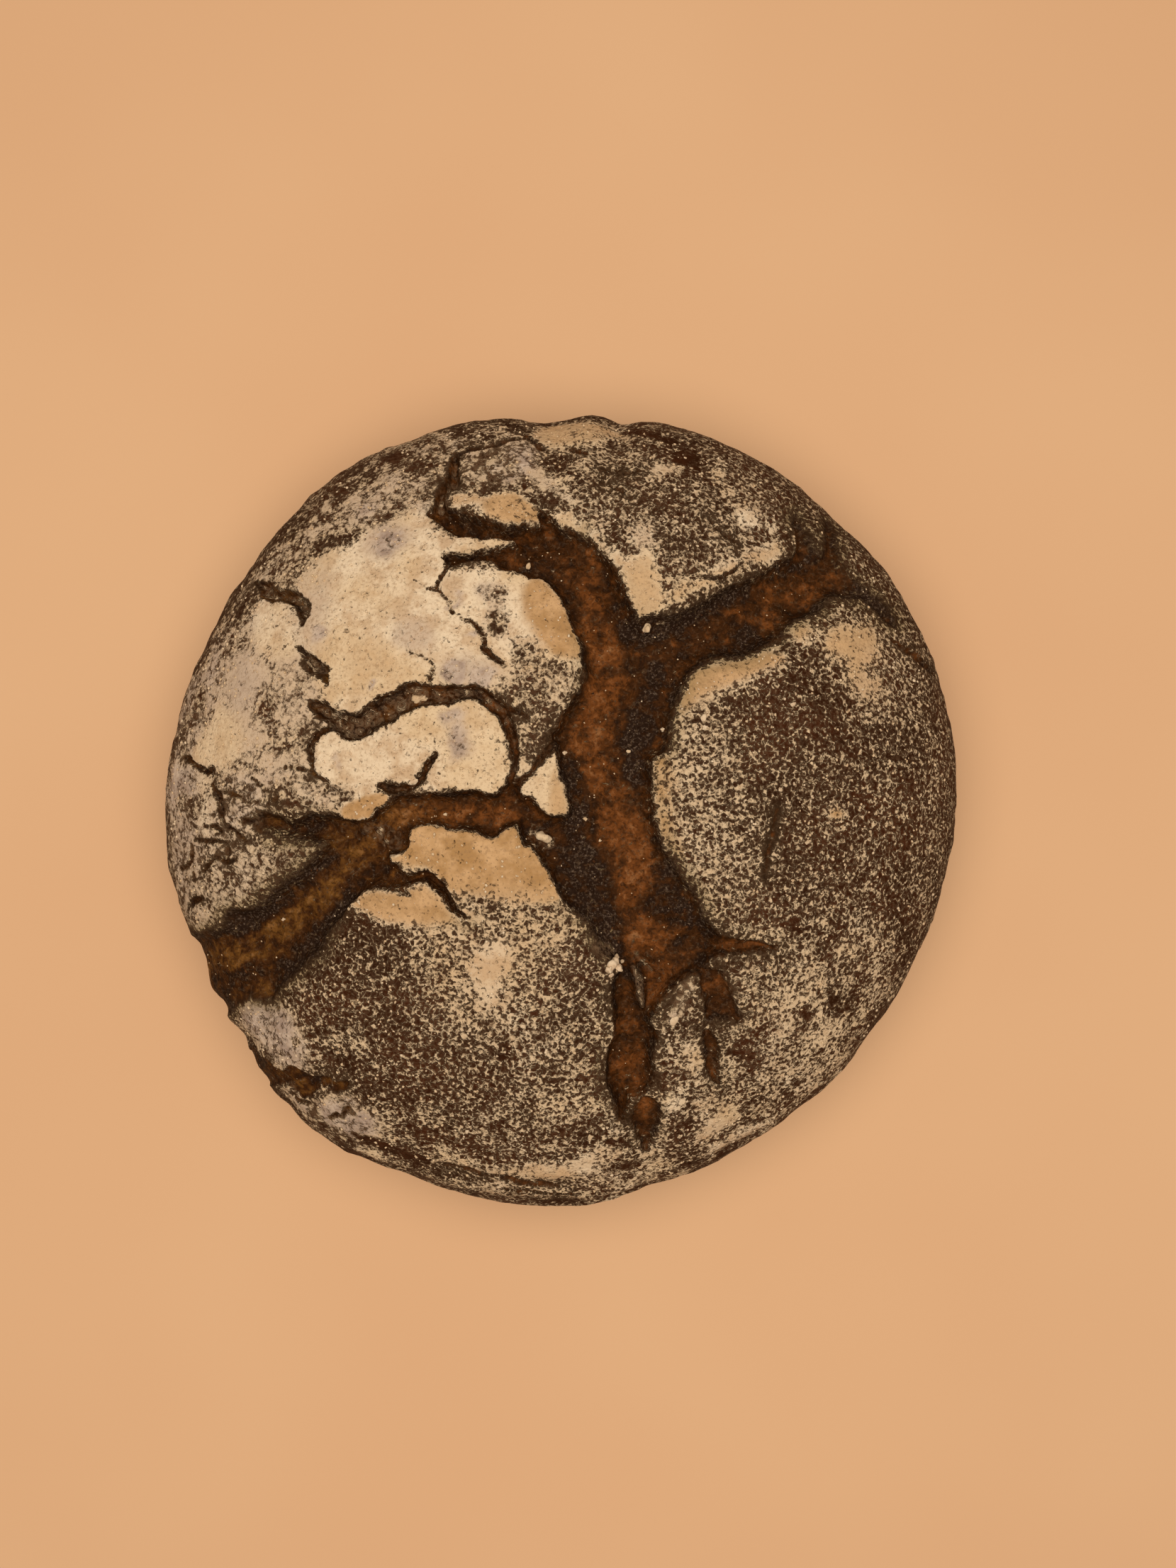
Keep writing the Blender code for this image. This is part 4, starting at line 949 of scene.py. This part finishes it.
def flour_group():
    """Where flour lies for a given cover, how thick it is, and its colour."""
    tree, given, out = new_group(
        "Dry flour", {"Cover": 0.5, "Tint": 0.0},
        {"Mask": "Float", "Thickness": "Float", "Veil": "Float", "Color": "Color"})
    place = node(tree, "ShaderNodeTexCoord").outputs["Object"]
    flecks = noise(tree, place, 1.1, 1.0, 0.5, 0.6)
    worms = noise(tree, place, 2.0, 0.0, 0.5, 1.2)
    off_middle = sums(tree, "ABSOLUTE", sums(tree, "SUBTRACT", worms, 0.5))
    ridge = spread(tree, off_middle, 0.0, 0.11, 0.10, -0.05)
    clumps = noise(tree, place, 3.6, 1.0, 0.5)
    level = sums(tree, "MULTIPLY_ADD", flecks, 0.94, -0.03)
    level = sums(tree, "MULTIPLY_ADD", clumps, 0.12, level)
    level = sums(tree, "ADD", level, ridge)
    greyness = spread(tree, given["Tint"], 0.0, -0.9)
    shove = node(tree, "ShaderNodeTexNoise", {"Vector": place, "Scale": 1.0 / (2.0 * MM),
                 "Detail": 0.0}).outputs["Color"]
    bent = node(tree, "ShaderNodeVectorMath", {0: shove, 1: (3.2 * MM,) * 3, 2: place},
                operation="MULTIPLY_ADD").outputs[0]
    flake = node(tree, "ShaderNodeTexVoronoi", {"Vector": bent, "Scale": 1.0 / (2.4 * MM)}).outputs
    flake_rise = spread(tree, flake["Distance"], 0.1, 0.75, 0.03, -0.2)
    flakes = sums(tree, "MULTIPLY_ADD", noise(tree, place, 1.5, 2.0, 0.6, 1.0), 0.9, flake_rise)
    flakes = sums(tree, "MULTIPLY_ADD", flake["Color"], 0.26, flakes)
    level = mixed(tree, spread(tree, given["Tint"], -0.1, -0.6, 0.0, 0.8), level, flakes)
    line = sums(tree, "MULTIPLY_ADD", given["Cover"], -0.70, 0.85)
    over = sums(tree, "SUBTRACT", level, line)
    mask = spread(tree, over, -0.06, 0.06)
    humps = noise(tree, place, 2.4, 2.0, 0.7)
    thickness = sums(tree, "MULTIPLY_ADD", sums(tree, "MULTIPLY", humps, mask), 1.1,
                     spread(tree, over, -0.05, 0.2))
    dusted = sums(tree, "MAXIMUM", spread(tree, given["Tint"], -0.6, -1.0, 0.2, 0.6),
                  spread(tree, given["Cover"], 0.6, 0.85, 0.0, 0.75))
    veil = sums(tree, "MULTIPLY", spread(tree, over, -0.26, -0.02), dusted)
    grain = noise(tree, place, 0.9, 3.0, 0.7)
    blotch = noise(tree, place, 6.5, 3.0, 0.66)
    cream = blend(tree, spread(tree, blotch, 0.35, 0.6), colour(206, 179, 148),
                  colour(236, 217, 190))
    cream = blend(tree, spread(tree, noise(tree, place, 22.0, 1.0), 0.4, 0.58, 0.0, 0.5), cream,
                  colour(218, 189, 148))
    tan = blend(tree, spread(tree, blotch, 0.3, 0.66), colour(210, 172, 128),
                colour(172, 132, 84))
    grey = blend(tree, spread(tree, blotch, 0.3, 0.7), colour(210, 192, 176),
                 colour(164, 144, 132))
    warm = blend(tree, spread(tree, given["Tint"], 0.0, 1.0), cream, tan)
    laid = blend(tree, greyness, warm, grey)
    tinted = blend(tree, spread(tree, given["Cover"], 0.85, 0.45), laid, colour(212, 189, 158))
    thin = blend(tree, spread(tree, over, -0.02, 0.16, 0.7, 0.0), tinted, colour(112, 84, 58))
    grained = blend(tree, spread(tree, grain, 0.52, 0.3, 0.0, 0.5), thin, colour(150, 120, 90))
    give(tree, out, Mask=mask, Thickness=thickness, Veil=veil, Color=grained)
    return tree


def crust_group():
    """Baked rye crust with no flour on it, dark brown with redder and blacker places."""
    tree, _, out = new_group("Baked crust", {}, {"Color": "Color", "Height": "Float"})
    place = node(tree, "ShaderNodeTexCoord").outputs["Object"]
    broad = noise(tree, place, 16.0, 3.0, 0.6)
    fine = noise(tree, place, 1.6, 3.0, 0.6)
    base = blend(tree, spread(tree, broad, 0.35, 0.65), colour(50, 27, 12), colour(68, 36, 18))
    mottled = blend(tree, spread(tree, fine, 0.35, 0.7, 0.0, 0.6), base, colour(40, 20, 8))
    give(tree, out, Color=mottled, Height=fine)
    return tree


def torn_group():
    """The floor of a tear, from blue-black through brown to orange crumb as its first input
    runs from -1 to 1. The blue-black is partly scorching and partly painted shade of the walls;
    the knots carry painted highlights on their tops, and the pits painted shade.
    """
    tree, given, out = new_group("Torn crumb", {"Bake": 0.0, "Gold": 0.0},
                                 {"Color": "Color", "Height": "Float"})
    place = node(tree, "ShaderNodeTexCoord").outputs["Object"]
    blots = noise(tree, place, 6.5, 2.0, 0.6, 0.8)
    knots = noise(tree, place, 2.3, 2.0, 0.65, 0.5)
    fine = noise(tree, place, 0.9, 2.0, 0.6)
    bake_and_shade = sums(tree, "MULTIPLY_ADD", sums(tree, "SUBTRACT", blots, 0.5), 3.2, given["Bake"])
    # The knots that raise the floor's bumps also lighten its colour on their tops and darken it
    # between them: painted light and shade.
    bake_and_shade = sums(tree, "MULTIPLY_ADD", sums(tree, "SUBTRACT", knots, 0.5), 3.4, bake_and_shade)
    glow = blend(tree, given["Gold"], colour(118, 69, 31), colour(116, 78, 34))
    brown = blend(tree, spread(tree, bake_and_shade, -0.9, 0.7), colour(38, 21, 9), colour(70, 41, 18))
    orange = blend(tree, spread(tree, bake_and_shade, 0.2, 1.7), brown, glow)
    # Painted highlights where the knots stand highest.
    with_painted_highlights = blend(tree, spread(tree, bake_and_shade, 1.2, 2.4, 0.0, 0.6), orange, colour(160, 118, 80))
    ash_and_shade = blend(tree, spread(tree, noise(tree, place, 0.7, 2.0, 0.6), 0.52, 0.7),
                colour(41, 27, 19), colour(104, 89, 77))
    # Blue-black where the value is lowest: partly scorched crumb, partly painted shade of the walls.
    scorched_and_shaded = blend(tree, spread(tree, bake_and_shade, 0.0, -1.2), with_painted_highlights, ash_and_shade)
    # Painted shade in the pits of the fine bumps.
    pits_shaded = blend(tree, spread(tree, fine, 0.5, 0.34, 0.0, 0.5), scorched_and_shaded, colour(31, 15, 5))
    give(tree, out, Color=pits_shaded, Height=sums(tree, "MULTIPLY_ADD", knots, 1.6, fine))
    return tree


FLOUR = flour_group()
CRUST = crust_group()
TORN = torn_group()


def new_material(name, specular):
    """A material, its tree, and its one shader with how strongly it glints set on it."""
    material = bpy.data.materials.new(name)
    material.use_nodes = True
    shader = material.node_tree.nodes["Principled BSDF"]
    shader.inputs["Specular IOR Level"].default_value = specular
    return material, material.node_tree, shader


def floured_crust():
    """The loaf's whole surface, which reads the values painted on its skin."""
    material, tree, shader = new_material("floured_crust", 0.03)
    painted = {name: node(tree, "ShaderNodeAttribute", attribute_name=name).outputs["Fac"]
               for name in ("cover", "tint", "crisp", "bake_and_shade", "gold", "torn")}
    flour = node(tree, "ShaderNodeGroup", {"Cover": painted["cover"], "Tint": painted["tint"]},
                 node_tree=FLOUR)
    crust = node(tree, "ShaderNodeGroup", node_tree=CRUST)
    torn = node(tree, "ShaderNodeGroup", {"Bake": painted["bake_and_shade"], "Gold": painted["gold"]},
                node_tree=TORN)
    place = node(tree, "ShaderNodeTexCoord").outputs["Object"]
    fray = noise(tree, place, 1.6, 3.0, 0.6)
    fray_reach = sums(tree, "MULTIPLY_ADD", painted["crisp"], -1.7, 3.5)
    frayed = sums(tree, "MULTIPLY_ADD", sums(tree, "SUBTRACT", fray, 0.5), fray_reach,
                  painted["torn"])
    in_tear = mixed(tree, painted["crisp"], spread(tree, frayed, -2.2, 1.8),
                    spread(tree, frayed, -0.9, 0.4))
    near_tear = spread(tree, frayed, -4.5, -0.5, 0.0, 0.8)
    rolled = blend(tree, near_tear, crust.outputs["Color"], colour(54, 40, 26))
    bare = blend(tree, in_tear, rolled, torn.outputs["Color"])
    veiled = blend(tree, flour.outputs["Veil"], bare, colour(132, 106, 82))
    # Near a soft, rolled tear edge the flour turns darker and olive: partly its own thinner colour,
    # partly painted shade where the shoulder slopes down into the tear.
    rolled_over = sums(tree, "SUBTRACT", 1.0, painted["crisp"])
    olive_and_shade = sums(tree, "MULTIPLY", spread(tree, frayed, -6.0, -1.0, 0.0, 0.7), rolled_over)
    shaded = blend(tree, olive_and_shade, flour.outputs["Color"], colour(128, 108, 68))
    floured = blend(tree, flour.outputs["Mask"], veiled, shaded)
    dullness = spread(tree, flour.outputs["Mask"], 0.0, 1.0, 0.62, 0.95)
    knobbly = mixed(tree, in_tear, crust.outputs["Height"], torn.outputs["Height"])
    bare_bump = node(tree, "ShaderNodeBump", {"Height": knobbly, "Distance": 0.35 * MM,
                     "Strength": 0.8}).outputs[0]
    flour_bump = node(tree, "ShaderNodeBump", {"Height": flour.outputs["Thickness"],
                      "Distance": 0.55 * MM, "Strength": 1.0, "Normal": bare_bump}).outputs[0]
    tree.links.new(floured, shader.inputs["Base Color"])
    tree.links.new(dullness, shader.inputs["Roughness"])
    tree.links.new(flour_bump, shader.inputs["Normal"])
    return material


loaf_mesh.materials.append(floured_crust())

# The flat layout of the skin, in shares of its square: two discs, each a middle and a radius.
TOP_DISC = ((0.47, 0.53), 0.465)
BASE_DISC = ((0.89, 0.11), 0.1)
BASE_DISC_MOST = 0.105
MERIDIAN_STEPS = 400


def unwrap(directions):
    """Lays the skin out flat: the dome and side as one large disc, the base as a small one."""
    polar = np.arccos(np.clip(directions[:, 2], -1.0, 1.0))
    steps = np.linspace(0.0, math.pi / 2 + FOOT_LATITUDE, MERIDIAN_STEPS)
    meridian = body_point(np.column_stack([np.sin(steps), 0.0 * steps, np.cos(steps)]))
    lengths = np.cumsum(np.linalg.norm(np.diff(meridian, axis=0), axis=1))
    lengths = np.concatenate([[0.0], lengths])
    angle = np.arctan2(directions[:, 1], directions[:, 0])
    around = np.column_stack([np.cos(angle), np.sin(angle)])
    top = TOP_DISC[1] * np.interp(polar, steps, lengths / lengths[-1])
    base = BASE_DISC[1] * (math.pi - polar) / (math.pi / 2 - FOOT_LATITUDE)
    base = np.minimum(base, BASE_DISC_MOST)
    return (np.array(TOP_DISC[0]) + around * top[:, None],
            np.array(BASE_DISC[0]) + around * base[:, None], polar)


def lay_out(mesh, directions):
    """Gives the mesh its flat layout, each triangle on one disc or the other."""
    top, base, polar = unwrap(directions)
    corners = np.empty(len(mesh.loops), np.int32)
    mesh.loops.foreach_get("vertex_index", corners)
    corners = corners.reshape(-1, 3)
    under = np.repeat(polar[corners].mean(axis=1) > math.pi / 2 + FOOT_LATITUDE, 3)
    flat = np.where(under[:, None], base[corners.ravel()], top[corners.ravel()])
    layer = mesh.uv_layers.new(name="OFBake")
    layer.data.foreach_set("uv", flat.astype(np.float32).ravel())


lay_out(loaf_mesh, directions)

# --- Lumps and grains of flour --------------------------------------------------------
# Dry flour that fell from the basket's wall: a few pressed lumps and chips lying in the
# tears and on the crust, and loose coarse grains everywhere. Each one is bedded a little.

# x, y, half-length, half-width, half-height, turn in degrees.
FLOUR_LUMPS = [
    (-35.5, 28.4, 2.2, 1.0, 0.9, 8), (-3.2, -8.0, 1.9, 1.0, 0.9, -20),
    (15.4, -41.0, 1.7, 1.2, 1.0, 60), (16.6, -42.0, 1.2, 0.9, 0.9, -20),
    (14.3, -42.6, 1.0, 0.8, 0.7, 80), (16.4, -39.8, 0.9, 0.6, 0.6, 30),
    (17.6, -41.0, 0.7, 0.5, 0.5, 0), (15.0, -44.2, 0.6, 0.5, 0.5, 40),
    (24.3, 47.2, 1.2, 0.9, 0.8, 60), (-7.0, 64.4, 0.9, 0.5, 0.5, 70),
    (31.2, -56.8, 1.4, 0.8, 0.4, 70), (-37.0, 6.5, 1.5, 0.6, 0.5, 30),
    (-74.2, -31.0, 0.5, 0.4, 0.4, 0), (-32.5, -87.0, 0.7, 0.6, 0.5, 0),
    (-24.0, -88.2, 0.6, 0.5, 0.5, 0), (-29.0, -2.2, 0.45, 0.4, 0.35, 0),
    (8.0, -3.2, 0.5, 0.45, 0.4, 0), (2.6, 14.2, 0.45, 0.4, 0.35, 0), (19.4, 14.6, 0.5, 0.4, 0.4, 0),
    (39.0, 23.2, 1.0, 0.7, 0.5, 60), (39.4, 20.8, 0.8, 0.6, 0.5, 20),
    (63.2, 27.0, 0.7, 0.6, 0.5, 0), (28.6, 20.4, 0.6, 0.5, 0.4, 0), (12.0, -9.0, 0.4, 0.35, 0.3, 0),
    (67.0, -9.5, 0.8, 0.6, 0.5, 20), (59.5, 4.5, 0.6, 0.5, 0.4, 0)]
GRAINS_ON_CRUST = 2600
GRAINS_IN_TEARS = 170

# Places strewn over the dome, from which the grains and the crumbs are taken in turn.
STREWN = 9000
STREWN_SEED = 7
STREWN_RADIUS = 0.95 * RADIUS


def resting_place(x, y):
    """The point of the crust straight below x, y, and which way the crust faces there."""
    above = Vector((x * MM, y * MM, 1.0))
    point, normal, _, _ = skin_tree.ray_cast(above, Vector((0, 0, -1)))
    return np.array(point), np.array(normal)


def ball(rounds):
    """The corners and triangles of a unit ball."""
    mesh = bmesh.new()
    bmesh.ops.create_icosphere(mesh, subdivisions=rounds, radius=1.0)
    corners = np.array([vert.co for vert in mesh.verts])
    triangles = np.array([[vert.index for vert in face.verts] for face in mesh.faces])
    mesh.free()
    return corners, triangles


def lump(shape, place, sizes, turn, rng):
    """Corners of a small rough rounded lump, half bedded in the crust at x, y."""
    spot, normal = resting_place(*place)
    ahead = np.array((math.cos(math.radians(turn)), math.sin(math.radians(turn)), 0.0))
    across = np.cross(normal, ahead)
    across /= np.linalg.norm(across)
    along = np.cross(across, normal)
    bulges = np.cos(shape @ rng.normal(0.0, 2.4, (3, 4)) + rng.uniform(0.0, 6.0, 4))
    rough = 1.0 + 0.2 * bulges.sum(axis=1)[:, None] + rng.uniform(-0.12, 0.12, (len(shape), 1))
    knobs = shape * rough * np.array(sizes)
    knobs[:, 2] += 0.25 * sizes[2]
    return spot + (knobs @ np.array((along, across, normal))) * MM


def piece_of_lumps(name, rounds, lumps, material):
    """Joins lumps, each given as place, sizes and turn, into one piece."""
    shape, triangles = ball(rounds)
    rng = np.random.default_rng(len(lumps))
    corners = np.vstack([lump(shape, *given, rng) for given in lumps])
    faces = np.vstack([triangles + len(shape) * index for index in range(len(lumps))])
    data = bpy.data.meshes.new(name)
    data.from_pydata(corners.tolist(), [], faces.tolist())
    data.materials.append(material)
    data.shade_smooth()
    piece = bpy.data.objects.new(name, data)
    bpy.context.scene.collection.objects.link(piece)
    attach(piece, "root")


def rye_flour(name, cover, tint):
    """Loose flour, chalky and matt."""
    material, tree, shader = new_material(name, 0.1)
    flour = node(tree, "ShaderNodeGroup", {"Cover": cover, "Tint": tint}, node_tree=FLOUR)
    tree.links.new(flour.outputs["Color"], shader.inputs["Base Color"])
    shader.inputs["Roughness"].default_value = 0.95
    return material


rng = np.random.default_rng(STREWN_SEED)
turns = rng.uniform(0.0, 2.0 * math.pi, STREWN)
radii = STREWN_RADIUS * np.sqrt(rng.uniform(0.0, 1.0, STREWN))
strewn = np.column_stack([radii * np.cos(turns), radii * np.sin(turns)])
on_dome = np.column_stack([strewn, np.full(STREWN, 50.0)])
in_wide, in_narrow, _ = measure_tears(on_dome)
how_torn = np.maximum(in_wide, in_narrow)


def strew(places, smallest, largest, flatness):
    """Lumps of random size at the given places."""
    lumps = []
    for place, size in zip(places, rng.uniform(smallest, largest, len(places))):
        sizes = (size, size * rng.uniform(0.6, 1.0), size * flatness)
        lumps.append((place, sizes, rng.uniform(0, 180)))
    return lumps


pressed = [(line[:2], line[2:5], line[5]) for line in FLOUR_LUMPS]
piece_of_lumps("flour_lumps", 3, pressed, rye_flour("rye_flour", 1.25, -0.15))
grains = strew(strewn[how_torn < -1.0][:GRAINS_ON_CRUST], 0.2, 0.5, 0.7)
grains += strew(strewn[how_torn > 0.3][:GRAINS_IN_TEARS], 0.1, 0.28, 0.7)
piece_of_lumps("flour_grains", 1, grains, rye_flour("rye_flour_grains", 1.25, 0.0))

# --- Crumbs in the tears --------------------------------------------------------------
# Small knots of crumb and crust that tore loose as the loaf opened and baked on where
# they lay, brown like the floor under them.
CRUMBS = 160


def baked_crumb():
    """Brown crumb, a little less matt than the flour."""
    material, tree, shader = new_material("baked_crumb", 0.15)
    torn = node(tree, "ShaderNodeGroup", {"Bake": 0.35, "Gold": 0.4}, node_tree=TORN)
    tree.links.new(torn.outputs["Color"], shader.inputs["Base Color"])
    shader.inputs["Roughness"].default_value = 0.7
    return material


crumbs = strew(strewn[in_wide > 1.0][-CRUMBS:], 0.2, 0.6, 0.4)
piece_of_lumps("baked_crumbs", 2, crumbs, baked_crumb())

# --- The table and the light ----------------------------------------------------------
# A plain pale peach tabletop under one broad soft lamp, with a weak even room light.
# The camera looks straight down from a little under half a metre above the table. Sizes
# here are in metres, and the camera's place is in the loaf's millimetres.
FLOOR_SIZE = 12.0
LAMP_WIDTH = 1.35
LAMP_HEIGHT = 1.1
LAMP_POWER = 12.3
LAMP_COLOUR = (1.0, 0.86, 0.70)
ROOM_COLOUR = (1.0, 0.88, 0.74, 1.0)
ROOM_STRENGTH = 0.21
CAMERA_PLACE = (8.83, 5.94, BELLY_HEIGHT + 420.0)
LENS = 32.9
SENSOR_WIDTH = 36.0


def tabletop():
    """Painted board, slightly cloudy."""
    material, tree, shader = new_material("tabletop", 0.2)
    place = node(tree, "ShaderNodeTexCoord").outputs["Object"]
    cloud = noise(tree, place, 160.0, 2.0)
    base = blend(tree, spread(tree, cloud, 0.3, 0.7), colour(229, 186, 147), colour(232, 191, 152))
    tree.links.new(base, shader.inputs["Base Color"])
    shader.inputs["Roughness"].default_value = 0.8
    return material


bpy.ops.mesh.primitive_plane_add(size=FLOOR_SIZE)
floor = bpy.context.active_object
floor.name = "tabletop"
floor.data.materials.append(tabletop())

lamp_data = bpy.data.lights.new("soft_lamp", "AREA")
lamp_data.shape = "DISK"
lamp_data.size = LAMP_WIDTH
lamp_data.energy = LAMP_POWER
lamp_data.color = LAMP_COLOUR
lamp = bpy.data.objects.new("soft_lamp", lamp_data)
lamp.location = (0.0, 0.0, LAMP_HEIGHT)
bpy.context.scene.collection.objects.link(lamp)

room = bpy.data.worlds.new("room")
room.use_nodes = True
room.node_tree.nodes["Background"].inputs["Color"].default_value = ROOM_COLOUR
room.node_tree.nodes["Background"].inputs["Strength"].default_value = ROOM_STRENGTH
bpy.context.scene.world = room
bpy.context.scene.view_settings.view_transform = "Standard"

camera_data = bpy.data.cameras.new("camera")
camera_data.lens = LENS
camera_data.sensor_width = SENSOR_WIDTH
camera = bpy.data.objects.new("camera", camera_data)
camera.location = [distance * MM for distance in CAMERA_PLACE]
bpy.context.scene.collection.objects.link(camera)
bpy.context.scene.camera = camera
